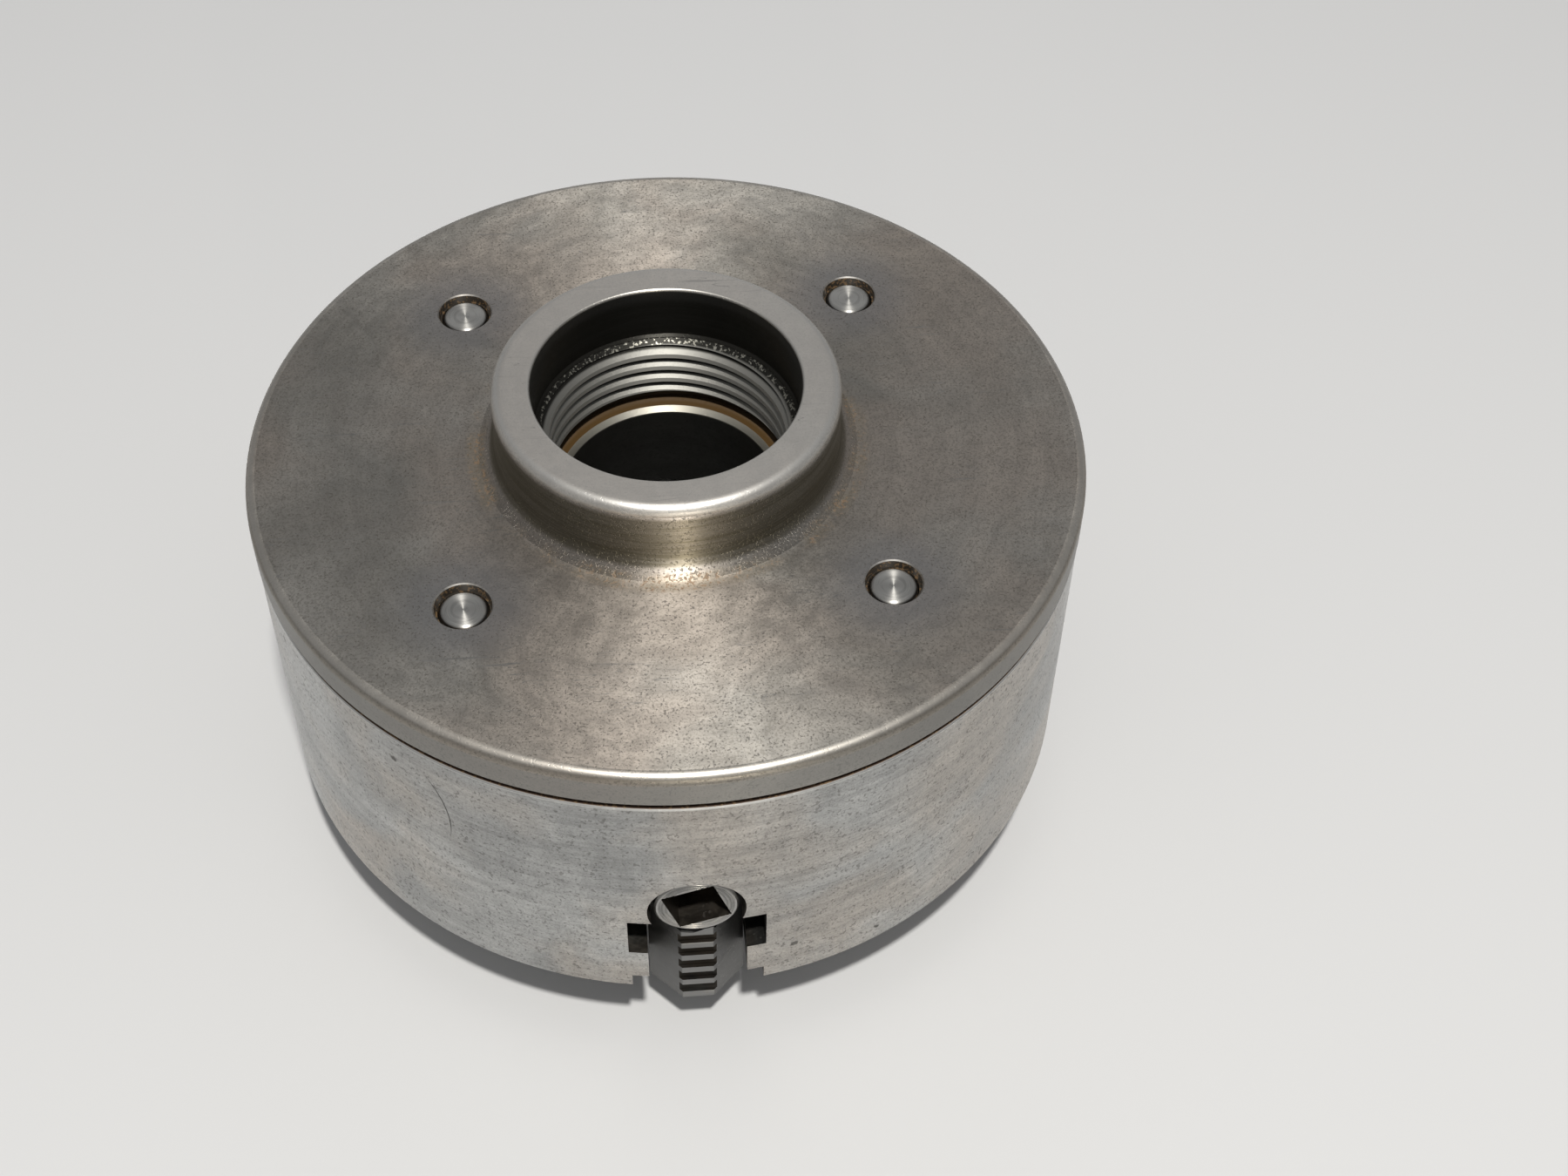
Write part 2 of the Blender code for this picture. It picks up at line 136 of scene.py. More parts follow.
def lamp(name, direction, distance, size, watts, color):
    """A round area lamp that shines at the chuck from a direction."""
    data = bpy.data.lights.new(name, "AREA")
    data.shape = "DISK"
    data.size = size
    data.energy = watts
    data.color = color
    obj = bpy.data.objects.new(name, data)
    bpy.context.scene.collection.objects.link(obj)
    away = Vector(direction).normalized()
    obj.location = away * distance
    obj.rotation_euler = away.to_track_quat("Z", "Y").to_euler()


def up_at(azimuth, elevation):
    """A direction from its compass angle (0 is +X, -90 the camera's side) and its height."""
    a, e = math.radians(azimuth), math.radians(elevation)
    return math.cos(e) * math.cos(a), math.cos(e) * math.sin(a), math.sin(e)


lamp("key_lamp", up_at(-85.0, 67.5), 0.9, 0.05, 7.5, (1.0, 0.98, 0.94))
lamp("low_lamp", up_at(-84.0, 5.0), 0.9, 0.04, 1.3, (1.0, 0.92, 0.78))
lamp("far_panel", up_at(86.0, 30.0), 1.6, 0.8, 0.7, (0.98, 0.99, 1.0))

world = bpy.data.worlds.new("pale_room")
bpy.context.scene.world = world
world.use_nodes = True
world.node_tree.nodes["Background"].inputs["Color"].default_value = (0.955, 0.97, 0.995, 1.0)
world.node_tree.nodes["Background"].inputs["Strength"].default_value = 0.37
bpy.context.scene.view_settings.view_transform = "Standard"

# %% [markdown]
# ## Wiring materials
# A few small helpers keep node graphs readable: one adds a node and feeds it, and the others are
# single steps of arithmetic, noise and mixing. A value may be a number or another node's output.

# %% Node helpers


def feed(tree, node, given):
    """Give a node's inputs numbers, or wires from other nodes."""
    for key, value in given.items():
        if isinstance(value, bpy.types.NodeSocket):
            tree.links.new(value, node.inputs[key])
        else:
            node.inputs[key].default_value = value
    return node


def add(tree, kind, given=None, **settings):
    node = tree.nodes.new("ShaderNode" + kind)
    for key, value in settings.items():
        setattr(node, key, value)
    return feed(tree, node, given or {})


def calc(tree, operation, *values, clamp=False):
    """One step of arithmetic on numbers or outputs."""
    node = add(tree, "Math", dict(enumerate(values)), operation=operation, use_clamp=clamp)
    return node.outputs[0]


def times(tree, first, *others):
    """The product: of masks, 1 only where all of them are 1."""
    for other in others:
        first = calc(tree, "MULTIPLY", first, other)
    return first


def scaled(tree, vector, factor):
    return add(tree, "VectorMath", {0: vector, "Scale": factor}, operation="SCALE").outputs["Vector"]


def split(tree, vector):
    return add(tree, "SeparateXYZ", {"Vector": vector}).outputs


def summed(tree, first, second):
    return add(tree, "VectorMath", {0: first, 1: second}, operation="ADD").outputs["Vector"]


def noise(tree, place, scale, detail, **more):
    """Soft noise round 0.5."""
    given = {"Vector": place, "Scale": scale, "Detail": detail, **more}
    return add(tree, "TexNoise", given).outputs["Fac"]


def ramp(tree, value, low, high, to_low=0.0, to_high=1.0):
    """Map low..high to to_low..to_high with soft ends."""
    given = {"Value": value, "From Min": low, "From Max": high, "To Min": to_low, "To Max": to_high}
    return add(tree, "MapRange", given, interpolation_type="SMOOTHSTEP").outputs["Result"]


def blend(tree, share, first, second):
    """Mix two colours by a share."""
    node = add(tree, "Mix", data_type="RGBA")
    for key, value in ((0, share), (6, first), (7, second)):
        feed(tree, node, {key: (*value, 1.0) if isinstance(value, tuple) else value})
    return node.outputs[2]


def open_group(name, inputs, outputs):
    """A new shader node group. Place and Round are vectors, and every other socket is a number."""
    tree = bpy.data.node_groups.new(name, "ShaderNodeTree")
    for side, labels in (("INPUT", inputs), ("OUTPUT", outputs)):
        for label in labels:
            kind = "NodeSocketVector" if label in ("Place", "Round") else "NodeSocketFloat"
            socket = tree.interface.new_socket(label, in_out=side, socket_type=kind)
            if side == "INPUT" and inputs[label] is not None:
                socket.default_value = inputs[label]
    return tree, tree.nodes.new("NodeGroupInput").outputs, tree.nodes.new("NodeGroupOutput").inputs


def put_out(tree, result, **values):
    """Wire values to a group's outputs by their names."""
    for label, value in values.items():
        tree.links.new(value, result[label])


def use(tree, group, given):
    """Place a node group in a material and return its outputs."""
    node = tree.nodes.new("ShaderNodeGroup")
    node.node_tree = group
    return feed(tree, node, given).outputs


# %% [markdown]
# ## Where a point is on a turned piece
# A lathe leaves its marks in circles. The group below turns a place into its radius, its height
# and a vector that is long round the circle and short across it, with no seam: it uses the
# direction from the axis and not the angle. `Down` grows along the outline, outward and down, so
# one number finds the fillet, the rim or a step.

# %% Group: turned place


def about_axis(tree, x, y, operation, height, arm_mm):
    """The radius, its sum or difference with a height, and a place that is long round the axis."""
    flat = add(tree, "CombineXYZ", {"X": x, "Y": y}).outputs[0]
    radius = add(tree, "VectorMath", {0: flat}, operation="LENGTH").outputs["Value"]
    aim = add(tree, "VectorMath", {0: flat}, operation="NORMALIZE").outputs["Vector"]
    arm = split(tree, scaled(tree, aim, arm_mm * MM))
    outward = calc(tree, operation, radius, height)
    round_place = add(tree, "CombineXYZ", {"X": arm["X"], "Y": arm["Y"], "Z": outward}).outputs[0]
    return radius, outward, round_place


turned_place, given, result = open_group(
    "turned_place", {"Place": None}, ("Radius", "Height", "Down", "Round"))
tree = turned_place
parts = split(tree, given["Place"])
radius, down, circles = about_axis(tree, parts["X"], parts["Y"], "SUBTRACT", parts["Z"], FLANGE_R)
put_out(tree, result, Radius=radius, Height=parts["Z"], Down=down, Round=circles)

# %% [markdown]
# ## Where a point is in a slot
# The four jaws and their screws are alike, each turned a quarter. The larger of |x| and |y| is
# the distance along any slot and the smaller is the distance across it, so one material serves
# all four. `Round` does for the screw's own axis what the group above does for the spindle's.

# %% Group: slot place
SLOT_ARM = 5.0
slot_place, given, result = open_group(
    "slot_place", {"Place": None}, ("Along", "Across", "Height", "Radius", "Round"))
tree = slot_place
parts = split(tree, given["Place"])
size_x = calc(tree, "ABSOLUTE", parts["X"])
size_y = calc(tree, "ABSOLUTE", parts["Y"])
along = calc(tree, "MAXIMUM", size_x, size_y)
across = calc(tree, "MINIMUM", size_x, size_y)
above = calc(tree, "SUBTRACT", parts["Z"], SCREW_AXIS * MM)
radius, _, circles = about_axis(tree, across, above, "ADD", along, SLOT_ARM)
put_out(tree, result, Along=along, Across=across, Height=parts["Z"], Radius=radius, Round=circles)

# %% [markdown]
# ## Where a point is near a cap screw
# The four screws stand at the corners of a square, so one quarter of it describes them all.

# %% Group: cap place
CAP_ARM = 3.0
cap_place, given, result = open_group(
    "cap_place", {"Place": None}, ("Radius", "Height", "Round"))
tree = cap_place
parts = split(tree, given["Place"])
side_x = calc(tree, "SUBTRACT", calc(tree, "ABSOLUTE", parts["X"]), CAP_AT * MM)
side_y = calc(tree, "SUBTRACT", calc(tree, "ABSOLUTE", parts["Y"]), CAP_AT * MM)
radius, _, circles = about_axis(tree, side_x, side_y, "SUBTRACT", parts["Z"], CAP_ARM)
put_out(tree, result, Radius=radius, Height=parts["Z"], Round=circles)

# %% [markdown]
# ## Grain, stains, pits and hairlines
# Four effects make steel look handled. Grain is noise stretched along the tool's path. Stains are
# large soft clouds where oil and hands have darkened the surface. Pits are small dark specks.
# Hairlines are long thin scratches, kept to a few patches by a second noise.

# %% Group: grain
grain, given, result = open_group(
    "grain", {"Place": None, "Lines": 3500.0, "Reach": 90.0}, ("Value",))
tree = grain
scale = add(tree, "CombineXYZ", {"X": given["Reach"], "Y": given["Reach"], "Z": given["Lines"]}).outputs[0]
place = add(tree, "VectorMath", {0: given["Place"], 1: scale}, operation="MULTIPLY").outputs["Vector"]
fine = noise(tree, place, 1.0, 2.0, Roughness=0.6)
broad = noise(tree, scaled(tree, place, 0.23), 1.0, 1.0)
both = calc(tree, "MULTIPLY_ADD", broad, 0.5, times(tree, fine, 0.5))
put_out(tree, result, Value=both)

# %% Group: stains
stains, given, result = open_group(
    "stains", {"Place": None, "Size": 0.03, "Shift": 0.0}, ("Cloud", "Tint", "Mottle"))
tree = stains
size = calc(tree, "DIVIDE", 1.0, given["Size"])
bent = add(tree, "TexNoise", {"Vector": given["Place"], "Scale": size, "Detail": 2.0}).outputs["Color"]
bent_place = summed(tree, given["Place"], scaled(tree, bent, given["Size"]))
offset = add(tree, "CombineXYZ", {"X": given["Shift"], "Y": 0.0, "Z": given["Shift"]}).outputs[0]
cloud = noise(tree, bent_place, size, 4.0, Roughness=0.55)
tint = noise(tree, summed(tree, bent_place, offset), size, 3.0)
mottle = noise(tree, bent_place, times(tree, size, 9.0), 5.0, Roughness=0.65)
put_out(tree, result, Cloud=ramp(tree, cloud, 0.36, 0.64), Tint=ramp(tree, tint, 0.38, 0.62),
        Mottle=mottle)

# %% Group: pits
pits, given, result = open_group(
    "pits", {"Place": None, "Fine": 2600.0, "Amount": 0.5}, ("Mask",))
tree = pits
speck = noise(tree, given["Place"], given["Fine"], 2.0)
patch = noise(tree, given["Place"], times(tree, given["Fine"], 0.22), 2.0)
depth = calc(tree, "MULTIPLY_ADD", patch, 0.22, speck)
edge = calc(tree, "SUBTRACT", 0.88, times(tree, given["Amount"], 0.2))
put_out(tree, result, Mask=ramp(tree, calc(tree, "SUBTRACT", depth, edge), 0.0, 0.07))

# %% Group: hairlines
HAIRLINE_TURNS = ((17.0, 8.0), (-38.0, -20.0), (71.0, 35.0))
LONG_AND_THIN = (55.0, 900.0, 900.0)
hairlines, given, result = open_group(
    "hairlines", {"Place": None, "Density": 1.0}, ("Mask",))
tree = hairlines
total = None
for number, (turn_deg, tilt_deg) in enumerate(HAIRLINE_TURNS):
    angles = tuple(math.radians(a) for a in (tilt_deg, 4.0 * number, turn_deg))
    stretch = {"Vector": given["Place"], "Rotation": angles, "Scale": LONG_AND_THIN}
    line = noise(tree, add(tree, "Mapping", stretch).outputs[0], 1.0, 1.0)
    thin = ramp(tree, calc(tree, "ABSOLUTE", calc(tree, "SUBTRACT", line, 0.5)), 0.0, 0.006, 1.0, 0.0)
    patch = noise(tree, given["Place"], 70.0 + 25.0 * number, 1.0)
    kept = times(tree, thin, ramp(tree, patch, 0.56, 0.66))
    total = kept if total is None else calc(tree, "MAXIMUM", total, kept)
put_out(tree, result, Mask=calc(tree, "MULTIPLY", total, given["Density"], clamp=True))

# %% [markdown]
# ## Dings
# A tool that has been put down hard has a few small dark dents. Voronoi cells scatter them: a
# cell's own colour says whether it has one, and noise makes its outline ragged.

# %% Group: dings
dings, given, result = open_group(
    "dings", {"Place": None, "Spacing": 0.009, "Size": 0.05}, ("Mask",))
tree = dings
ragged = add(tree, "TexNoise", {"Vector": given["Place"], "Scale": 900.0, "Detail": 3.0}).outputs["Color"]
shaken = summed(tree, given["Place"], scaled(tree, ragged, 0.0011))
rate = calc(tree, "DIVIDE", 1.0, given["Spacing"])
cells = add(tree, "TexVoronoi", {"Vector": shaken, "Scale": rate}).outputs
lot = split(tree, cells["Color"])
dent_reach = times(tree, given["Size"], ramp(tree, lot["Y"], 0.0, 1.0, 0.5, 1.5))
near = calc(tree, "DIVIDE", cells["Distance"], dent_reach)
dent = times(tree, ramp(tree, near, 0.6, 1.0, 1.0, 0.0), ramp(tree, lot["X"], 0.45, 0.55))
put_out(tree, result, Mask=dent)

# %% [markdown]
# ## Bands
# Wear, rust and oil lie where the outline puts them: on a rounded rim, in a corner, down a bore.
# A band is 1 at a value and fades to 0 at a distance from it.

# %% Group: band
band, given, result = open_group(
    "band", {"Value": 0.0, "Middle": 0.0, "Half": 1.0}, ("Mask",))
tree = band
off = calc(tree, "ABSOLUTE", calc(tree, "SUBTRACT", given["Value"], given["Middle"]))
share = calc(tree, "DIVIDE", off, given["Half"])
put_out(tree, result, Mask=ramp(tree, share, 0.35, 1.0, 1.0, 0.0))

# %% [markdown]
# ## Steel
# Every steel here is one recipe with its own numbers. Base Color, Roughness, Metallic and a Bump
# height come from the groups; rust and packed dirt lower Metallic. The Principled shader stays in
# the material, and its fixed numbers are set on its own sockets. A turned face stretches its
# highlights across the tool's circles, which is a quarter turn from the shader's own direction.

# %% The steel recipe
ACROSS_RINGS = 0.25


class Steel:
    """A material under construction: colour, roughness, metal and height are outputs to mix over."""

    def __init__(self, name, place_group, anisotropy=0.0):
        self.material = bpy.data.materials.new(name)
        self.material.use_nodes = True
        self.tree = self.material.node_tree
        self.shader = self.tree.nodes["Principled BSDF"]
        self.shader.inputs["Anisotropic"].default_value = anisotropy
        self.shader.inputs["Anisotropic Rotation"].default_value = ACROSS_RINGS if anisotropy else 0.0
        self.place = add(self.tree, "TexCoord").outputs["Object"]
        self.where = use(self.tree, place_group, {"Place": self.place})
        self.color = None
        self.rough = None
        self.metal = 1.0
        self.height = 0.5

    def times(self, *values):
        return times(self.tree, *values)

    def noise(self, scale, detail):
        return noise(self.tree, self.place, scale, detail)

    def rings(self, lines, reach):
        """The circles that the tool leaves, as soft noise round 0.5."""
        given = {"Place": self.where["Round"], "Lines": lines, "Reach": reach}
        return use(self.tree, grain, given)["Value"]

    def stain(self, dark, light, warm, size, shift, rough, lines, reach, share, mottle=0.1):
        """The ground coat: clouds of dark and light, a warm tint, mottling and the tool's grain."""
        tree = self.tree
        cloud = use(tree, stains, {"Place": self.place, "Size": size, "Shift": shift})
        marks = self.rings(lines, reach)
        base = blend(tree, cloud["Cloud"], dark, light)
        base = blend(tree, times(tree, cloud["Tint"], 0.75), base, warm)
        tone = times(tree, ramp(tree, marks, 0.3, 0.7, 1.0 - share, 1.0 + share),
                     ramp(tree, cloud["Mottle"], 0.3, 0.7, 1.0 - mottle, 1.0 + mottle))
        self.color = scaled(tree, base, tone)
        uneven = ramp(tree, cloud["Mottle"], 0.3, 0.7, rough - 0.05, rough + 0.07)
        self.rough = calc(tree, "MULTIPLY_ADD", marks, 0.08, uneven)
        self.height = times(tree, marks, 0.5)

    def over(self, mask, color, rough, metal, sink=0.0):
        """Lay a coat over the surface where the mask is 1."""
        tree = self.tree
        self.color = blend(tree, mask, self.color, color)
        for key, value in (("rough", rough), ("metal", metal)):
            node = add(tree, "Mix", {0: mask, 2: getattr(self, key), 3: value}, data_type="FLOAT")
            setattr(self, key, node.outputs[0])
        if sink:
            self.height = calc(tree, "SUBTRACT", self.height, times(tree, mask, sink))

    def pit(self, fine, amount, share=0.75):
        """Dark specks in the surface."""
        mask = use(self.tree, pits, {"Place": self.place, "Fine": fine, "Amount": amount})["Mask"]
        self.over(self.times(mask, share), (0.05, 0.045, 0.04), 0.6, 0.6, 0.6)

    def speckle(self, fine, share, color, rough):
        """A close dark grain all over, finer than the pits."""
        self.over(ramp(self.tree, self.noise(fine, 2.0), 0.46, 0.64, 0.0, share), color, rough, 1.0)

    def ding(self, spacing_mm, size, share):
        """A few small dark dents."""
        given = {"Place": self.place, "Spacing": spacing_mm * MM, "Size": size}
        mask = use(self.tree, dings, given)["Mask"]
        self.over(self.times(mask, share), (0.07, 0.065, 0.06), 0.55, 0.7, 1.0)

    def scratch(self, density, color=(0.62, 0.61, 0.58)):
        """Fine hairlines, bright where they are fresh and dark where they are old."""
        mask = use(self.tree, hairlines, {"Place": self.place, "Density": density})["Mask"]
        self.over(mask, color, 0.32, 1.0, 0.25)

    def band(self, output, middle, half, share=1.0):
        """A mask round one value of the place, in millimetres."""
        given = {"Value": self.where[output], "Middle": middle * MM, "Half": half * MM}
        return self.times(use(self.tree, band, given)["Mask"], share)

    def below(self, output, value, soft):
        """1 where an output is under a value in millimetres."""
        return ramp(self.tree, self.where[output], (value - soft) * MM, (value + soft) * MM, 1.0, 0.0)

    def above(self, output, value, soft):
        return calc(self.tree, "SUBTRACT", 1.0, self.below(output, value, soft))

    def finish(self, bump_mm):
        """Wire the shader and return the material."""
        tree = self.tree
        feed(tree, self.shader, {"Base Color": self.color, "Roughness": self.rough, "Metallic": self.metal})
        bump = add(tree, "Bump", {"Height": self.height, "Distance": bump_mm * MM, "Strength": 1.0})
        tree.links.new(bump.outputs["Normal"], self.shader.inputs["Normal"])
        return self.material


# %% Colours of what lies on the steels, painted highlight and painted shade among them
RUST = (0.20, 0.095, 0.025)
DARK_RUST = (0.045, 0.022, 0.010)
LIGHT_RUST = (0.17, 0.105, 0.05)
PAINTED_SHADE_BLACK = (0.012, 0.012, 0.0105)
PAINTED_HIGHLIGHT = (0.66, 0.65, 0.62)

# %% [markdown]
# ## The back plate's steel
# The flange has been handled for years: brown and grey clouds over a turned face, fine pits, a
# rim whose rounding carries a painted highlight on top and a painted dark reflection below, over a
# darker grey side. The hub's rounding and the register's mouth carry painted highlights. An amber
# stain with specks of rust lies round the hub's foot, and the hub's side is an oily brown. The
# register, the thread's grooves and the relief under them are painted near black as shade, the
# thread's crests keep a lighter grey, and painted glints lie on the thread's lead-in. One steel is
# made three times, because one face shines unlike another: a long streak on the flange, a longer
# one on the hub's side, and an even shine on the roundings and the hub's top. RIM, CROWN and FOOT
# are values of `Down` at the flange's outer corner, the hub's top corner and the outer end of the
# hub's fillet.

# %% Materials: back plate
RIM = FLANGE_R - FLANGE_REAR
CROWN = HUB_R - HUB_TOP
FOOT = HUB_R + HUB_FOOT - FLANGE_REAR
HALO_FROM, HALO_TO = 3.6, 10.5


def plate_finish(name, anisotropy, bump_mm):
    """The plate's steel, with its own stretch of the highlights and depth of the marks."""
    plate = Steel(name, turned_place, anisotropy)
    tree = plate.tree
    plate.stain((0.31, 0.292, 0.263), (0.46, 0.435, 0.395), (0.415, 0.362, 0.314), size=0.027, shift=0.31,
                rough=0.46, lines=2600.0, reach=120.0, share=0.07, mottle=0.09)
    plate.speckle(4200.0, 0.42, (0.19, 0.176, 0.15), 0.5)
    from_cap = use(tree, cap_place, {"Place": plate.place})["Radius"]
    halo = ramp(tree, from_cap, HALO_FROM * MM, HALO_TO * MM, 0.5, 0.0)
    plate.over(halo, (0.25, 0.25, 0.26), 0.44, 1.0)
    plate.pit(3300.0, 0.95, 0.6)
    plate.ding(17.0, 0.03, 0.7)
    plate.scratch(0.35)
    hub_face = plate.below("Down", CROWN - 0.1, 0.5)
    plate.over(plate.times(hub_face, 0.7), (0.53, 0.51, 0.48), 0.47, 1.0)
    plate.scratch(0.6, (0.16, 0.15, 0.14))
    # Painted highlight: a light band on the rim's rounding, where the key lamp's highlight falls.
    plate.over(plate.band("Down", RIM - 0.4, 0.9, 0.6), (0.45, 0.425, 0.385), 0.33, 1.0)
    # Painted reflection: a dark band under the rim's highlight, in place of a dark reflection of the room.
    plate.over(plate.band("Down", RIM + 0.7, 0.9, 0.6), (0.17, 0.155, 0.13), 0.4, 1.0)
    plate.over(plate.times(plate.above("Down", RIM + 1.3, 0.15), 0.75), (0.20, 0.197, 0.187), 0.34, 1.0)
    # Painted highlight: a light band on the hub's top rounding, where the key lamp's highlight falls.
    plate.over(plate.band("Down", CROWN + 0.2, 1.5, 0.5), PAINTED_HIGHLIGHT, 0.36, 1.0)
    side = plate.times(plate.below("Radius", HUB_R + 0.7, 0.3), plate.below("Height", HUB_TOP - 1.7, 0.5))
    streaks = ramp(tree, plate.rings(5200.0, 60.0), 0.42, 0.6, 0.78, 0.97)
    plate.over(plate.times(side, streaks), (0.125, 0.11, 0.078), 0.42, 1.0)
    grit_and_glint_noise = plate.noise(2400.0, 3.0)
    foot = plate.times(plate.band("Down", FOOT - 0.7, 1.9), ramp(tree, plate.noise(160.0, 2.0), 0.36, 0.6))
    plate.over(plate.times(foot, 0.34), (0.26, 0.205, 0.125), 0.5, 0.8)
    plate.over(plate.times(foot, ramp(tree, grit_and_glint_noise, 0.54, 0.62, 0.0, 0.5)), RUST, 0.7, 0.3, 0.4)
    inner = plate.below("Radius", REGISTER_R + 0.25, 0.1)
    # Painted shade: the register's inside, under its mouth, is painted near black.
    plate.over(plate.times(inner, plate.below("Height", HUB_TOP - 0.3, 0.15), 0.94), PAINTED_SHADE_BLACK, 0.36, 0.8)
    # Painted highlight: a light ring on the register's rounded mouth.
    painted_mouth_highlight = plate.times(plate.band("Radius", REGISTER_R + 0.15, 0.28),
                             plate.band("Height", HUB_TOP - 0.1, 0.35))
    plate.over(plate.times(painted_mouth_highlight, 0.7), (0.52, 0.50, 0.46), 0.36, 1.0)
    threaded = plate.times(plate.below("Radius", THREAD_ROOT + 0.3, 0.1),
                           plate.below("Height", REGISTER_FLOOR + 0.3, 0.1))
    # Painted shade: the thread's grooves are painted near black, and the crests go back to a lighter grey.
    plate.over(plate.times(threaded, 0.85), (0.035, 0.034, 0.03), 0.5, 0.9)
    crests = plate.times(threaded, plate.below("Radius", THREAD_CREST + 0.65, 0.16))
    plate.over(plate.times(crests, 0.85), (0.47, 0.46, 0.425), 0.62, 1.0)
    lead = plate.times(threaded, plate.band("Height", REGISTER_FLOOR - 0.2, 0.5))
    # Painted glints: bright specks on the thread's lead-in.
    painted_glints = plate.times(lead, ramp(tree, grit_and_glint_noise, 0.54, 0.62, 0.0, 0.7))
    plate.over(painted_glints, (0.58, 0.56, 0.48), 0.35, 1.0, -0.2)
    relief = plate.times(plate.below("Height", RELIEF_TOP - 0.05, 0.1), inner)
    # Painted shadow: the relief under the thread is painted near black.
    plate.over(plate.times(relief, 0.95), (0.022, 0.017, 0.010), 0.5, 0.5)
    return plate.finish(bump_mm)


plate_steel = plate_finish("plate_steel", 0.70, 0.012)
hub_steel = plate_finish("hub_steel", 0.96, 0.04)
even_steel = plate_finish("even_steel", 0.1, 0.012)

# %% [markdown]
# ## The body's steel
# The body's side was ground bright and has fine marks round it, small dents, pale warm clouds and
# one long curved scratch, with a painted highlight along its top edge under the seam. Dark rust is
# packed in the seam under the plate, the bore is painted near black as shade behind a lip painted
# bright as a highlight, and an amber ledge shows at the bottom of the thread. The milled slots and
# the drilled holes are dark, partly with oil and partly as painted shade: the cutters below carry
# that second steel, and a Boolean that transfers materials leaves it on the walls that they cut.

# %% Material: body
HAIR_X, HAIR_Z, HAIR_R, HAIR_HALF = 41.3, 37.0, 14.2, 0.09
HAIR_MIDDLE, HAIR_REACH = 39.6, 6.2

body = Steel("body_steel", turned_place, 0.4)
tree = body.tree
body.stain((0.32, 0.322, 0.317), (0.445, 0.446, 0.436), (0.435, 0.396, 0.352), size=0.022, shift=0.57,
           rough=0.27, lines=3300.0, reach=60.0, share=0.16, mottle=0.13)
body.speckle(3800.0, 0.34, (0.18, 0.178, 0.17), 0.34)
body.pit(2300.0, 0.9, 0.45)
body.ding(6.0, 0.06, 0.85)
body.scratch(0.8, (0.17, 0.165, 0.155))
parts = split(tree, body.place)
side_step = calc(tree, "ADD", parts["X"], HAIR_X * MM)
rise = calc(tree, "SUBTRACT", parts["Z"], HAIR_Z * MM)
away = calc(tree, "SQRT", calc(tree, "ADD", body.times(side_step, side_step), body.times(rise, rise)))
hair = use(tree, band, {"Value": away, "Middle": HAIR_R * MM, "Half": HAIR_HALF * MM})["Mask"]
front_side = ramp(tree, parts["Y"], -20.0 * MM, -19.0 * MM, 1.0, 0.0)
hair = body.times(hair, body.band("Height", HAIR_MIDDLE, HAIR_REACH), front_side)
body.over(hair, (0.05, 0.048, 0.045), 0.5, 0.8, 0.8)
# Painted highlight: a light band along the body's top edge, under the seam.
body.over(body.times(body.above("Height", SEAM_LOW - 0.35, 0.12), 0.7), PAINTED_HIGHLIGHT, 0.3, 1.0)
seam = body.times(body.above("Height", SEAM_LOW - 0.1, 0.05), body.below("Radius", BODY_R + 0.03, 0.04))
body.over(seam, DARK_RUST, 0.8, 0.1)
rust_grit = ramp(tree, body.noise(2200.0, 3.0), 0.52, 0.62, 0.0, 0.8)
body.over(body.times(seam, rust_grit), LIGHT_RUST, 0.7, 0.2)
# Painted shade: the bore is painted near black.
body.over(body.times(body.below("Radius", BORE_R + 1.4, 0.3), 0.93), (0.024, 0.024, 0.021), 0.42, 0.8)
ledge = body.times(body.band("Height", RECESS_FLOOR, 0.4), body.below("Radius", BORE_R + 2.7, 0.1), 0.9)
body.over(ledge, (0.115, 0.062, 0.017), 0.5, 0.35)
# Painted highlight: a light ring on the bore's chamfered lip.
painted_lip_highlight = body.times(body.band("Height", RECESS_FLOOR - 0.3, 0.6), body.below("Radius", BORE_R + 0.62, 0.05), 0.9)
body.over(painted_lip_highlight, (0.46, 0.44, 0.38), 0.45, 1.0)
body_steel = body.finish(0.012)

# Dark walls of the cuts: partly oil and partly painted shade in the slots, holes and sockets.
slot = Steel("oil_and_shade_steel", slot_place)
slot.stain((0.055, 0.055, 0.052), (0.10, 0.098, 0.09), (0.085, 0.07, 0.055), size=0.012, shift=0.2,
           rough=0.42, lines=2500.0, reach=300.0, share=0.2)
slot.pit(1800.0, 0.6)
oil_and_shade_steel = slot.finish(0.02)

# %% [markdown]
# ## Jaws, screws and small steels
# The jaws are hardened and ground: a dark even grey, lighter on the lower half as a painted
# reflection of the floor, with light edges and black dirt packed into the gripping grooves. The
# screws are turned, and their ends keep the tool's circles. An edge that is rubbed goes bright, so
# every bevel gets a steel of its own.

# %% Materials: jaws and screws
FLOOR_REFLECTION_TOP = 15.0

hard = Steel("jaw_steel", slot_place)
hard.stain((0.062, 0.062, 0.063), (0.11, 0.11, 0.109), (0.085, 0.083, 0.078), size=0.006, shift=0.4,
           rough=0.44, lines=2200.0, reach=260.0, share=0.08)
hard.pit(2600.0, 0.5, 0.5)
hard.scratch(0.9, (0.34, 0.34, 0.34))
# Painted reflection: the jaws' lower half is lighter, in place of the floor reflected in the flanks.
painted_floor_reflection = hard.times(hard.below("Height", FLOOR_REFLECTION_TOP, 4.5), 0.6)
hard.over(painted_floor_reflection, (0.165, 0.165, 0.162), 0.42, 1.0)
land = hard.times(hard.below("Across", LAND_HALF + 0.03, 0.1),
                  hard.above("Along", JAW_OUTER - 0.4, 0.1), 0.6)
hard.over(land, (0.27, 0.27, 0.265), 0.42, 1.0)
jaw_steel = hard.finish(0.015)

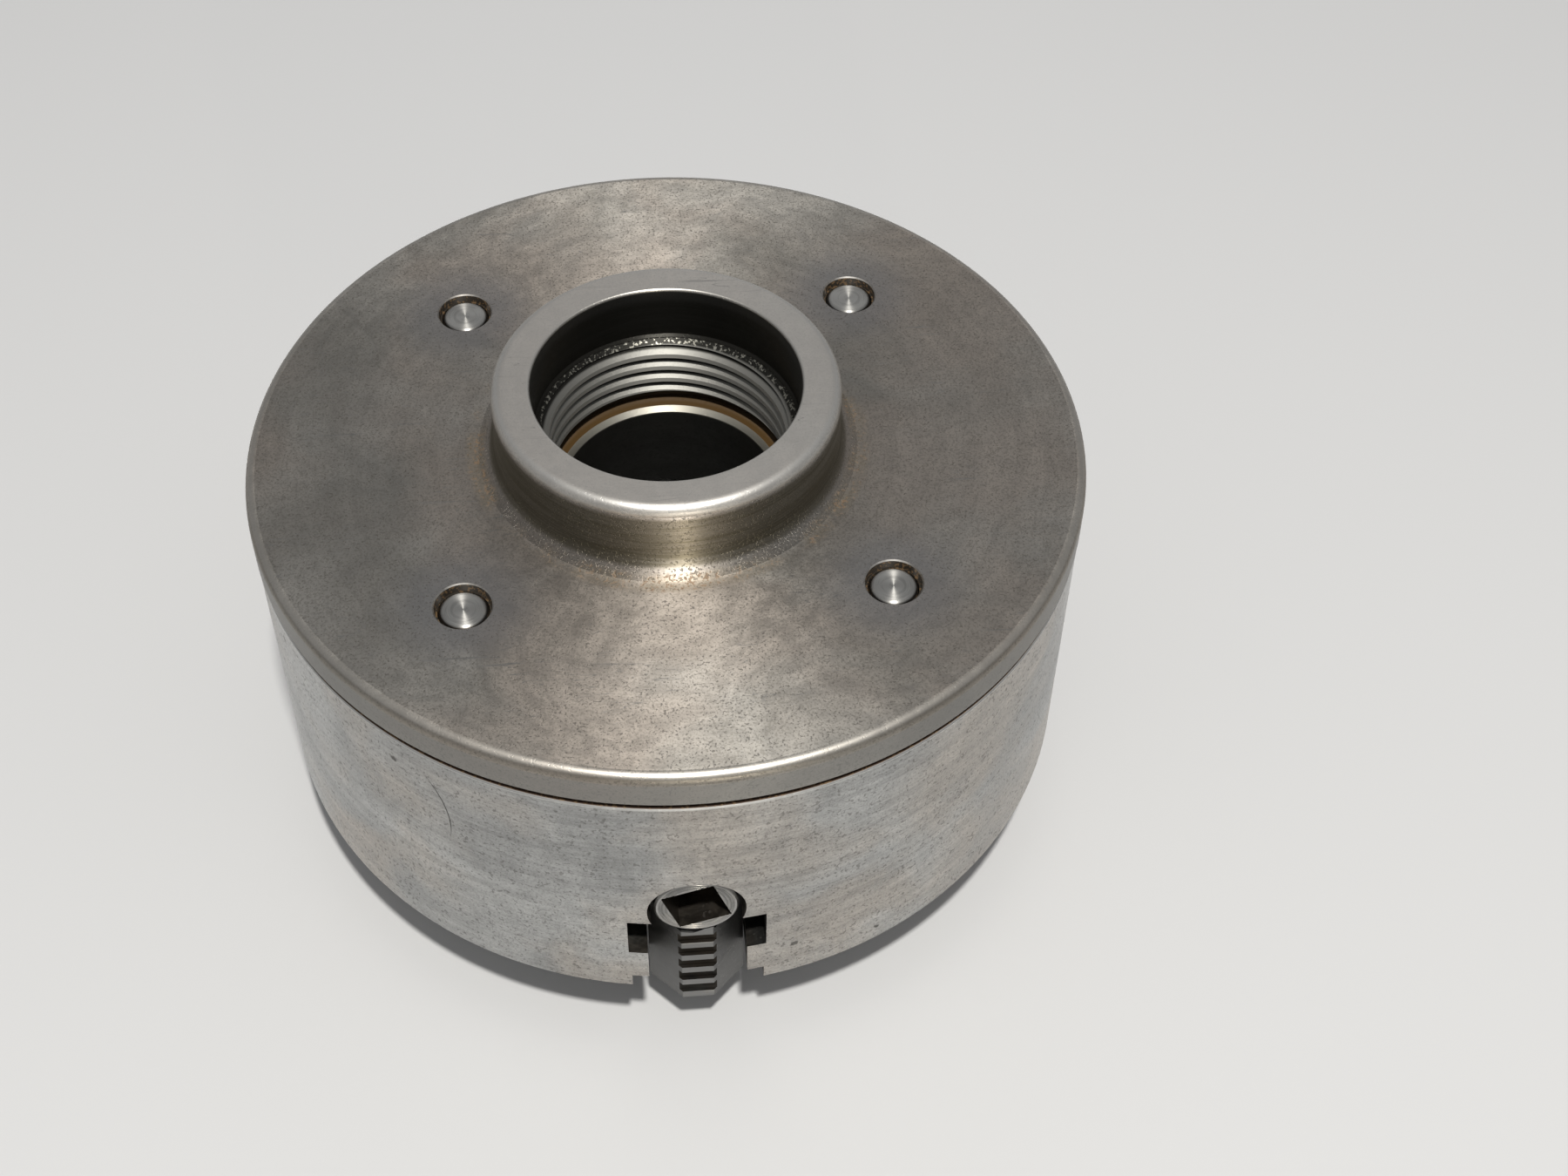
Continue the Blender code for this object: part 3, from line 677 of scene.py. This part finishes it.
turned = Steel("screw_steel", slot_place)
turned.stain((0.26, 0.26, 0.255), (0.38, 0.375, 0.365), (0.30, 0.29, 0.27), size=0.006, shift=0.3,
             rough=0.30, lines=2600.0, reach=200.0, share=0.28)
turned.pit(2500.0, 0.4, 0.6)
arcs = ramp(turned.tree, turned.rings(2700.0, 160.0), 0.47, 0.58, 0.0, 0.75)
turned.over(arcs, (0.13, 0.13, 0.126), 0.34, 1.0, 0.3)
screw_steel = turned.finish(0.03)

# %% Materials: grooves, edges and blocks


def plain_steel(name, place_group, colors, bump_mm, **numbers):
    """A steel that needs only the ground coat."""
    steel = Steel(name, place_group)
    steel.stain(*colors, **numbers)
    return steel.finish(bump_mm)


groove_steel = plain_steel(
    "groove_steel", slot_place, ((0.012, 0.012, 0.011), (0.03, 0.029, 0.027), (0.032, 0.026, 0.02)), 0.02,
    size=0.006, shift=0.1, rough=0.6, lines=2500.0, reach=300.0, share=0.2)
edge_steel = plain_steel(
    "worn_edge", turned_place, ((0.22, 0.215, 0.205), (0.36, 0.35, 0.335), (0.28, 0.262, 0.24)), 0.01,
    size=0.006, shift=0.3, rough=0.45, lines=2600.0, reach=200.0, share=0.1)
jaw_edge_steel = plain_steel(
    "rubbed_jaw_edge", slot_place, ((0.28, 0.28, 0.277), (0.42, 0.42, 0.41), (0.33, 0.325, 0.31)), 0.01,
    size=0.006, shift=0.3, rough=0.5, lines=2600.0, reach=200.0, share=0.1)
block_steel = plain_steel(
    "block_steel", slot_place, ((0.22, 0.22, 0.215), (0.32, 0.32, 0.31), (0.28, 0.26, 0.24)), 0.02,
    size=0.008, shift=0.3, rough=0.4, lines=2600.0, reach=260.0, share=0.15)

# %% Material: cap screws
cap_end = Steel("cap_steel", cap_place, 0.85)
tree = cap_end.tree
cap_end.stain((0.05, 0.048, 0.045), (0.09, 0.085, 0.08), (0.08, 0.06, 0.045), size=0.01, shift=0.3,
              rough=0.42, lines=2600.0, reach=150.0, share=0.2)
end = cap_end.times(cap_end.above("Height", CAP_TIP - 0.6, 0.1),
                    cap_end.below("Radius", CAP_R - 0.27, 0.1))
cap_end.over(end, (0.46, 0.45, 0.425), 0.42, 1.0)
fine_rings = cap_end.times(end, ramp(tree, cap_end.rings(7000.0, 300.0), 0.5, 0.62, 0.0, 0.5))
cap_end.over(fine_rings, (0.27, 0.265, 0.25), 0.38, 1.0, 0.2)
around = cap_end.above("Radius", CAP_R - 0.11, 0.06)
cap_end.over(cap_end.times(around, 0.9), (0.035, 0.028, 0.02), 0.7, 0.3)
grains = cap_end.times(around, ramp(tree, cap_end.noise(2600.0, 3.0), 0.52, 0.6, 0.0, 0.8))
cap_end.over(grains, (0.16, 0.10, 0.05), 0.7, 0.2, -0.4)
cap_steel = cap_end.finish(0.02)
print("steels:", ", ".join(material.name for material in bpy.data.materials))

# %% [markdown]
# ## Turning and threading with bmesh
# A turned piece is its outline, spun once round the axis and merged where it meets itself. A
# thread is a tooth's outline, spun with a small climb at each step, so that the same operator
# makes a helix. A piece stays in millimetres until its edges are eased.

# %% Bmesh helpers
TURN_STEPS = 192
SHARP_DEG = 32.0
SMOOTH_DEG = 8.0


def arc(centre_r, centre_z, radius, start_deg, end_deg, steps=12):
    """Points of a rounding in an outline, as (radius, height)."""
    angles = [math.radians(start_deg + (end_deg - start_deg) * i / steps) for i in range(steps + 1)]
    return [(centre_r + radius * math.cos(a), centre_z + radius * math.sin(a)) for a in angles]


def turn(outline, steps=TURN_STEPS, phase=0.0):
    """Spin an outline of (radius, height) points; phase turns the facets by a share of a step."""
    bm = bmesh.new()
    verts = [bm.verts.new((r, 0.0, z)) for r, z in outline]
    ends = verts[1:] + verts[:1] if min(r for r, z in outline) > 0.0 else verts[1:]
    edges = [bm.edges.new(pair) for pair in zip(verts, ends)]
    bmesh.ops.spin(bm, geom=verts + edges, cent=(0, 0, 0), axis=(0, 0, 1), dvec=(0, 0, 0),
                   angle=math.tau, steps=steps, use_merge=True, use_duplicate=False)
    bmesh.ops.remove_doubles(bm, verts=bm.verts, dist=0.0005)
    bmesh.ops.rotate(bm, matrix=Matrix.Rotation(phase * math.tau / steps, 3, "Z"), verts=bm.verts)
    bmesh.ops.recalc_face_normals(bm, faces=bm.faces)
    return bm


def tooth(foot_r, tip_r, foot_half, tip_half):
    """A thread's tooth, from its foot to its tip, half on each side of z = 0."""
    return [(foot_r, -foot_half), (tip_r, -tip_half), (tip_r, tip_half), (foot_r, foot_half)]


def thread(outline, pitch, turns, start_z, hand, steps):
    """Spin a tooth's outline round Z while it climbs one pitch a turn: a closed ridge."""
    bm = bmesh.new()
    verts = [bm.verts.new((r, 0.0, z + start_z)) for r, z in outline]
    face = bm.faces.new(verts)
    count = round(turns * steps)
    bmesh.ops.spin(bm, geom=[face, *face.edges, *verts], cent=(0, 0, 0), axis=(0, 0, hand),
                   dvec=(0, 0, pitch / steps), angle=math.tau * count / steps, steps=count,
                   use_merge=False, use_duplicate=False)
    bmesh.ops.recalc_face_normals(bm, faces=bm.faces)
    return bm


def bar(outline, axis, start, end):
    """Extrude an outline along Z (points x, y) or X (points y, z)."""
    bm = bmesh.new()
    if axis == "Z":
        verts = [bm.verts.new((a, b, start)) for a, b in outline]
        way = (0.0, 0.0, end - start)
    else:
        verts = [bm.verts.new((start, a, b)) for a, b in outline]
        way = (end - start, 0.0, 0.0)
    grown = bmesh.ops.extrude_face_region(bm, geom=[bm.faces.new(verts)])["geom"]
    far_end = [item for item in grown if isinstance(item, bmesh.types.BMVert)]
    bmesh.ops.translate(bm, vec=way, verts=far_end)
    bmesh.ops.recalc_face_normals(bm, faces=bm.faces)
    return bm


def rectangle(x0, x1, half):
    return [(x0, -half), (x1, -half), (x1, half), (x0, half)]


def along_slot(bm):
    """Lay a piece that was turned about Z along +X, on the jaw screws' axis."""
    bmesh.ops.rotate(bm, matrix=Matrix.Rotation(math.pi / 2, 3, "Y"), verts=bm.verts)
    bmesh.ops.translate(bm, vec=(0, 0, SCREW_AXIS), verts=bm.verts)
    return bm


def spun(bm, degrees):
    bmesh.ops.rotate(bm, matrix=Matrix.Rotation(math.radians(degrees), 3, "Z"), verts=bm.verts)
    return bm


def moved(bm, x, y):
    bmesh.ops.translate(bm, vec=(x, y, 0), verts=bm.verts)
    return bm


def as_object(name, bm, *materials):
    """Turn a bmesh into an object at the origin, still in millimetres."""
    mesh = bpy.data.meshes.new(name)
    bm.to_mesh(mesh)
    bm.free()
    for material in materials:
        mesh.materials.append(material)
    obj = bpy.data.objects.new(name, mesh)
    bpy.context.scene.collection.objects.link(obj)
    return obj


def settle(piece):
    """Replace a piece's mesh by what its modifiers make of it."""
    bpy.context.view_layer.update()
    graph = bpy.context.evaluated_depsgraph_get()
    mesh = bpy.data.meshes.new_from_object(piece.evaluated_get(graph), depsgraph=graph)
    piece.modifiers.clear()
    piece.data = mesh


def work(piece, tools, operation, material=None):
    """Join or cut a piece with bmeshes; the walls of a cut take the tool's own steel."""
    steel = material or piece.data.materials[0]
    guides = [as_object("guide_%d" % i, bm, steel) for i, bm in enumerate(tools)]
    for guide in guides:
        step = piece.modifiers.new(guide.name, "BOOLEAN")
        step.operation = operation
        step.solver = "EXACT"
        step.material_mode = "TRANSFER"
        step.object = guide
    settle(piece)
    for guide in guides:
        bpy.data.objects.remove(guide, do_unlink=True)


def ease(piece, width_mm):
    """Bevel the sharp edges in the second steel, shade only round stretches smooth, go to metres."""
    bevel = piece.modifiers.new("eased_edges", "BEVEL")
    bevel.width = width_mm
    bevel.segments = 2
    bevel.limit_method = "ANGLE"
    bevel.angle_limit = math.radians(SHARP_DEG)
    bevel.material = 1
    bevel.miter_outer = "MITER_ARC"
    settle(piece)
    piece.data.shade_smooth()
    piece.data.set_sharp_from_angle(angle=math.radians(SMOOTH_DEG))
    piece.data.transform(Matrix.Scale(MM, 4))


def report(piece):
    """Print a piece's size and whether it is closed."""
    bm = bmesh.new()
    bm.from_mesh(piece.data)
    loose = sum(1 for edge in bm.edges if len(edge.link_faces) != 2)
    triangles = sum(len(face.verts) - 2 for face in bm.faces)
    print("%s: %d triangles, %d open edges" % (piece.name, triangles, loose))
    bm.free()


# %% [markdown]
# ## Back plate
# The real plate is faced and turned from the back in one setting, so its rim, its flange, the
# hub's foot and the hub are one outline. The spindle's thread is cut last: a tooth-shaped groove
# climbs from the relief at the bottom of the bore and runs out through the lead-in at the top.
# A second ring of points just past each rounding holds the flat next to it flat in the shading.

# %% Make the back plate
RIM_ROUND, HUB_ROUND, MOUTH_ROUND = 1.2, 1.3, 0.3
SPIGOT_BREAK, FLANGE_BREAK = 0.4, 0.25
RELIEF_R = 15.3
LEAD_R = THREAD_ROOT + 0.2
HOLD = 0.35
outline = [(RELIEF_R + 0.05, SPIGOT_LOW), (SPIGOT_R - SPIGOT_BREAK, SPIGOT_LOW),
           (SPIGOT_R, SPIGOT_LOW + SPIGOT_BREAK), (SPIGOT_R, FLANGE_FRONT),
           (FLANGE_R - FLANGE_BREAK, FLANGE_FRONT), (FLANGE_R, FLANGE_FRONT + FLANGE_BREAK),
           (FLANGE_R, FLANGE_REAR - RIM_ROUND - HOLD)]
outline += arc(FLANGE_R - RIM_ROUND, FLANGE_REAR - RIM_ROUND, RIM_ROUND, 0, 90)
outline += [(FLANGE_R - RIM_ROUND - HOLD, FLANGE_REAR), (HUB_R + HUB_FOOT + HOLD, FLANGE_REAR)]
outline += arc(HUB_R + HUB_FOOT, FLANGE_REAR + HUB_FOOT, HUB_FOOT, 270, 180)
outline += [(HUB_R, FLANGE_REAR + HUB_FOOT + HOLD), (HUB_R, HUB_TOP - HUB_ROUND - HOLD)]
outline += arc(HUB_R - HUB_ROUND, HUB_TOP - HUB_ROUND, HUB_ROUND, 0, 90)
outline += [(HUB_R - HUB_ROUND - HOLD, HUB_TOP), (REGISTER_R + MOUTH_ROUND + HOLD, HUB_TOP)]
outline += arc(REGISTER_R + MOUTH_ROUND, HUB_TOP - MOUTH_ROUND, MOUTH_ROUND, 90, 180)
outline += [(REGISTER_R, REGISTER_FLOOR + 0.3), (REGISTER_R - 0.3, REGISTER_FLOOR),
            (LEAD_R, REGISTER_FLOOR), (THREAD_CREST, REGISTER_FLOOR - LEAD_R + THREAD_CREST),
            (THREAD_CREST, RELIEF_TOP), (RELIEF_R, RELIEF_TOP - 0.4)]
back_plate = as_object("back_plate_turned", turn(outline), plate_steel, edge_steel)

groove_low = RELIEF_TOP - 0.8 * THREAD_PITCH
groove_turns = (REGISTER_FLOOR + 0.6 * THREAD_PITCH - groove_low) / THREAD_PITCH
groove = thread(tooth(THREAD_CREST - 0.5, THREAD_ROOT, 0.95, 0.12), THREAD_PITCH, groove_turns,
                groove_low, 1, 96)
work(back_plate, [groove], "DIFFERENCE")

# %% Bore the four holes, with a ring of packed grit below a wider top
HOLE_R, GRIT_R, HOLE_TOP_R, CHAMFER_R = 2.95, 3.15, 3.3, 3.5
GRIT_TOP = FLANGE_REAR - 1.0
hole_outline = [(0.0, FLANGE_FRONT - 1), (HOLE_R, FLANGE_FRONT - 1), (HOLE_R, GRIT_TOP), (GRIT_R, GRIT_TOP),
                (HOLE_TOP_R, FLANGE_REAR - 0.1), (HOLE_TOP_R, FLANGE_REAR + 1), (0.0, FLANGE_REAR + 1)]
mouth_outline = [(0.0, FLANGE_REAR - 0.14), (HOLE_TOP_R, FLANGE_REAR - 0.14),
                 (CHAMFER_R, FLANGE_REAR + 0.06), (CHAMFER_R, FLANGE_REAR + 1), (0.0, FLANGE_REAR + 1)]
corners = [(x * CAP_AT, y * CAP_AT) for x in (-1, 1) for y in (-1, 1)]
for cut_outline, wall_steel in ((hole_outline, cap_steel), (mouth_outline, edge_steel)):
    holes = [moved(turn(cut_outline, 48), x, y) for x, y in corners]
    work(back_plate, holes, "DIFFERENCE", wall_steel)
ease(back_plate, 0.1)

# %% Give the hub's side and the roundings their own steels

back_plate.data.materials.append(hub_steel)
back_plate.data.materials.append(even_steel)
last = len(back_plate.data.materials) - 1
for face in back_plate.data.polygons:
    reach_mm, height_mm = math.hypot(face.center.x, face.center.y) / MM, face.center.z / MM
    if face.material_index or reach_mm < REGISTER_R + 0.1:
        continue
    on_rim = reach_mm > FLANGE_R - RIM_ROUND and height_mm > FLANGE_REAR - RIM_ROUND
    if on_rim or height_mm > HUB_TOP - HUB_ROUND:
        face.material_index = last
    elif reach_mm < HUB_R + 0.7 * HUB_FOOT and height_mm > FLANGE_REAR + 0.1:
        face.material_index = last - 1
report(back_plate)

# %% [markdown]
# ## Body
# A round blank with four T slots, milled from the front, and four holes drilled in from the side
# above them for the jaw screws. Each T is one outline extruded across the whole body, so two
# cutters make four slots.

# %% Make the body
CHAMFER = 0.25
BORE_BREAK = 0.6
outline = [(BORE_R, BODY_FRONT), (BODY_R - CHAMFER, BODY_FRONT), (BODY_R, BODY_FRONT + CHAMFER),
           (BODY_R, SEAM_LOW - CHAMFER), (BODY_R - CHAMFER, SEAM_LOW), (SEAM_R, SEAM_LOW),
           (SEAM_R, BODY_REAR), (SPIGOT_R + 0.3, BODY_REAR), (SPIGOT_R + 0.3, RECESS_FLOOR),
           (BORE_R + BORE_BREAK, RECESS_FLOOR), (BORE_R, RECESS_FLOOR - BORE_BREAK)]
chuck_body = as_object("chuck_body_turned", turn(outline), body_steel, edge_steel)

MOUTH_HALF, SLOT_HALF, TEE_HALF = 7.8, 5.8, 8.05
MOUTH_TOP, TEE_LOW, TEE_HIGH = 14.3, 19.4, 25.7
tee_right = [(MOUTH_HALF, BODY_FRONT - 1), (MOUTH_HALF, MOUTH_TOP), (SLOT_HALF, MOUTH_TOP),
             (SLOT_HALF, TEE_LOW), (TEE_HALF, TEE_LOW), (TEE_HALF, TEE_HIGH)]
tee = [(-MOUTH_HALF, BODY_FRONT - 1), *tee_right, *[(-y, z) for y, z in tee_right[:0:-1]]]
reach = BODY_R + 3.0
drill = [(0.0, -reach), (SCREW_HOLE_R, -reach), (SCREW_HOLE_R, reach), (0.0, reach)]
cutters = []
for quarter in (0.0, 90.0):
    cutters.append(spun(bar(tee, "X", -reach, reach), quarter))
    cutters.append(spun(along_slot(turn(drill, 64)), quarter))

# %% Cut the pockets of the thrust blocks and the cap screws' bores, and finish the body
POCKET_MIDDLE, POCKET_LONG, POCKET_WIDE = 38.5, 2.9, 5.4
COUNTERBORE_R, COUNTERBORE_TOP, CLEARANCE_R = 5.4, 18.7, 3.3
for degrees in SLOT_TURNS:
    plan = rectangle(POCKET_MIDDLE - POCKET_LONG, POCKET_MIDDLE + POCKET_LONG, POCKET_WIDE)
    cutters.append(spun(bar(plan, "Z", SCREW_AXIS, BODY_REAR + 1), degrees))
bore_outline = [(0.0, BODY_FRONT - 1), (COUNTERBORE_R, BODY_FRONT - 1), (COUNTERBORE_R, COUNTERBORE_TOP),
                (CLEARANCE_R, COUNTERBORE_TOP), (CLEARANCE_R, BODY_REAR + 1), (0.0, BODY_REAR + 1)]
cutters += [moved(turn(bore_outline, 48), x, y) for x, y in corners]
work(chuck_body, cutters, "DIFFERENCE", oil_and_shade_steel)
ease(chuck_body, 0.14)
report(chuck_body)

# %% [markdown]
# ## Jaws
# A reversible jaw is a stepped bar with a tongue for the T slot and a half nut in its back. Its
# steps end in blunt noses, so that four jaws can meet at the centre. One jaw is made, and the
# other three are quarter turns of it.

# %% Make the jaws
JAW_HALF, TONGUE_HALF, TONGUE_LOW = 5.62, 7.85, 19.6
STEP_RISE, STEP_RUN = 4.05, 12.0
MIDDLE_STEP_TOP, LOW_STEP_TOP = 12.0, 6.0
NUT_CREST, NUT_ROOT, SCREW_PITCH = 5.0, 5.62, 2.5
screw_inner = screw_low[0]


def nosed(x0, x1, half):
    """A bar's plan with a blunt 90-degree nose at each end."""
    nose = half - LAND_HALF
    return [(x0, -LAND_HALF), (x0 + nose, -half), (x1 - nose, -half), (x1, -LAND_HALF),
            (x1, LAND_HALF), (x1 - nose, half), (x0 + nose, half), (x0, LAND_HALF)]


low_step = 2 * STEP_RISE
top_plan = nosed(JAW_INNER, JAW_OUTER, JAW_HALF)
jaw = as_object("jaw", bar(top_plan, "Z", low_step, JAW_TOP), jaw_steel, jaw_edge_steel)
steps = [bar(nosed(JAW_INNER, JAW_OUTER, TONGUE_HALF), "Z", TONGUE_LOW, JAW_TOP),
         bar(nosed(JAW_INNER, JAW_OUTER - STEP_RUN, JAW_HALF), "Z", STEP_RISE, MIDDLE_STEP_TOP),
         bar(nosed(JAW_INNER, JAW_OUTER - 2 * STEP_RUN, JAW_HALF), "Z", 0.0, LOW_STEP_TOP)]
work(jaw, steps, "UNION")

trough = [(0.0, JAW_INNER - 2), (NUT_CREST, JAW_INNER - 2), (NUT_CREST, JAW_OUTER + 2), (0.0, JAW_OUTER + 2)]
nut_tooth = tooth(NUT_CREST - 1.1, NUT_ROOT, 0.9, 0.62)
nut = thread(nut_tooth, SCREW_PITCH, 17.0, screw_inner + 0.5 * SCREW_PITCH - 4 * SCREW_PITCH, -1, 48)
work(jaw, [along_slot(turn(trough, 64)), along_slot(nut)], "DIFFERENCE")

# %% Cut the gripping grooves and finish the jaw
GRIP_PITCH, GRIP_WIDTH, GRIP_DEPTH, GRIP_HALF, GRIP_FIRST = 2.7, 1.6, 0.4, 4.0, 1.2
OUTER_GRIPS, INNER_GRIPS = 5, 4


def grip_cutters(x0, x1, bottom, count):
    lows = [bottom + GRIP_FIRST + number * GRIP_PITCH for number in range(count)]
    return [bar(rectangle(x0, x1, GRIP_HALF), "Z", low, low + GRIP_WIDTH) for low in lows]


grips = grip_cutters(JAW_OUTER - GRIP_DEPTH, JAW_OUTER + 1, low_step, OUTER_GRIPS)
grips += grip_cutters(JAW_INNER - 1, JAW_INNER + GRIP_DEPTH, 0.0, INNER_GRIPS)
work(jaw, grips, "DIFFERENCE", groove_steel)
ease(jaw, 0.07)
report(jaw)

# %% [markdown]
# ## Jaw screws
# Left-handed, so that a clockwise key closes the jaw. The plain head holds the square socket and
# is small enough to pass over the half nut's crests. A thrust block sits over the neck.

# %% Make the jaw screws
NECK_LENGTH, THREADED = 5.8, 18.5
CORE_R, SCREW_CREST, HEAD_R, NECK_R = 4.55, 5.4, 4.9, 2.8
RING_RADII, RING_HALF, RING_DEPTH = (4.35, 4.0, 3.62), 0.08, 0.05
THREAD_PHASE = 0.37
neck_in = screw_inner + THREADED
neck_out = neck_in + NECK_LENGTH
outline = [(0.0, screw_inner), (CORE_R - 0.6, screw_inner), (CORE_R, screw_inner + 0.6),
           (CORE_R, neck_in - 0.4), (CORE_R - 0.4, neck_in), (NECK_R + 0.3, neck_in),
           (NECK_R, neck_in + 0.3), (NECK_R, neck_out - 0.3), (NECK_R + 0.3, neck_out),
           (HEAD_R - 0.2, neck_out), (HEAD_R, neck_out + 0.2), (HEAD_R, SCREW_END - 0.25),
           (HEAD_R - 0.25, SCREW_END)]
for ring_r in RING_RADII:
    outline += [(ring_r + RING_HALF, SCREW_END), (ring_r, SCREW_END - RING_DEPTH),
                (ring_r - RING_HALF, SCREW_END)]
outline += [(0.0, SCREW_END)]
screw = as_object("screw", along_slot(turn(outline, 96, THREAD_PHASE)), screw_steel, edge_steel)
ridge = thread(tooth(CORE_R - 0.3, SCREW_CREST, 0.72, 0.4), SCREW_PITCH, 6.4,
               screw_inner + 0.5 * SCREW_PITCH, -1, 64)
work(screw, [along_slot(ridge)], "UNION")

SOCKET_HALF, SOCKET_DEPTH, SOCKET_TURN = 3.175, 7.0, 19.0
PILOT_R, PILOT_HIGH, PILOT_LOW, PILOT_TIP = 3.2, 6.0, 7.6, 9.4
square = rectangle(-SOCKET_HALF, SOCKET_HALF, SOCKET_HALF)
socket = bar(square, "X", SCREW_END - SOCKET_DEPTH, SCREW_END + 1)
bmesh.ops.rotate(socket, matrix=Matrix.Rotation(math.radians(SOCKET_TURN), 3, "X"), verts=socket.verts)
bmesh.ops.translate(socket, vec=(0, 0, SCREW_AXIS), verts=socket.verts)
pilot = turn([(0.0, SCREW_END - PILOT_TIP), (PILOT_R, SCREW_END - PILOT_LOW),
              (PILOT_R, SCREW_END - PILOT_HIGH), (0.0, SCREW_END - PILOT_HIGH)], 48)
work(screw, [socket, along_slot(pilot)], "DIFFERENCE", oil_and_shade_steel)
ease(screw, 0.08)
report(screw)

# %% [markdown]
# ## Cap screws
# Four screws hold the plate. Their heads sit in the front face, and their turned ends show in the
# back, a little below the flange, each in a ring of packed grit.

# %% Make the cap screws
CAP_SEAT, CAP_HEAD = 18.4, cap_low[2]
CAP_HEAD_R, CAP_ROUND, TIP_FLAT_R = 5.0, 0.55, 2.2
HEX_FLATS, HEX_DEPTH = 5.0, 3.0
outline = [(0.0, CAP_HEAD), (CAP_HEAD_R - 0.5, CAP_HEAD), (CAP_HEAD_R, CAP_HEAD + 0.5),
           (CAP_HEAD_R, CAP_SEAT), (CAP_R, CAP_SEAT), (CAP_R, CAP_TIP - 2 * CAP_ROUND)]
outline += arc(TIP_FLAT_R, CAP_TIP - CAP_ROUND, CAP_ROUND, 0, 90)
outline += [(0.0, CAP_TIP)]
cap = as_object("cap", turn(outline, 64), cap_steel, cap_steel)
hex_r = HEX_FLATS / math.sqrt(3)
hexagon = [(hex_r * math.cos(math.radians(60 * i)), hex_r * math.sin(math.radians(60 * i))) for i in range(6)]
work(cap, [bar(hexagon, "Z", CAP_HEAD - 1, CAP_HEAD + HEX_DEPTH)], "DIFFERENCE", oil_and_shade_steel)
ease(cap, 0.08)
report(cap)

# %% [markdown]
# ## Placing the pieces
# A finished piece's object stays at the origin and its place is in its mesh, so each copy's mesh
# is turned or moved. Every piece then rides on its body and stands for its imported solid.

# %% Place, ride and replace


def copies(first, stem, places):
    """Copies of a piece, one for each matrix, named stem_1 and up; the first piece goes."""
    made = []
    for number, matrix in enumerate(places, 1):
        mesh = first.data.copy()
        mesh.transform(matrix)
        obj = bpy.data.objects.new("%s_%d" % (stem, number), mesh)
        bpy.context.scene.collection.objects.link(obj)
        made.append(obj)
    bpy.data.objects.remove(first, do_unlink=True)
    return made


def stands_for(piece, node, body_name):
    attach(piece, body_name)
    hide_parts(node)


CAP_TURNS = (-45.0, 45.0, 135.0, 225.0)
quarters = [Matrix.Rotation(math.radians(a), 4, "Z") for a in SLOT_TURNS]
cap_places = [Matrix.Translation((CAP_CIRCLE * MM * math.cos(math.radians(a)),
                                  CAP_CIRCLE * MM * math.sin(math.radians(a)), 0.0)) for a in CAP_TURNS]
stands_for(chuck_body, "chuck_body", "chuck")
stands_for(back_plate, "back_plate", "chuck")
words = ("one", "two", "three", "four")
for number, (piece, word) in enumerate(zip(copies(jaw, "stepped_jaw", quarters), words), 1):
    stands_for(piece, "jaw_%d" % number, "jaw_" + word)
for number, (piece, word) in enumerate(zip(copies(screw, "square_screw", quarters), words), 1):
    stands_for(piece, "jaw_screw_%d" % number, "screw_" + word)
for number, piece in enumerate(copies(cap, "plate_screw", cap_places), 1):
    stands_for(piece, "cap_screw_%d" % number, "chuck")
for number in range(1, 5):
    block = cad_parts["thrust_block_%d" % number]
    for material_slot in block.material_slots:
        material_slot.material = block_steel

# %% [markdown]
# ## Floor
# A plain pale sheet, smooth and slightly soft, wide enough that no edge shows.

# %% Make the floor
FLOOR_HALF = 2.5
floor_material = bpy.data.materials.new("pale_sheet")
floor_material.use_nodes = True
floor_shader = floor_material.node_tree.nodes["Principled BSDF"]
floor_shader.inputs["Base Color"].default_value = (0.60, 0.60, 0.60, 1.0)
floor_shader.inputs["Roughness"].default_value = 0.55
bm = bmesh.new()
bmesh.ops.create_grid(bm, x_segments=1, y_segments=1, size=FLOOR_HALF)
floor = as_object("floor_sheet", bm, floor_material)
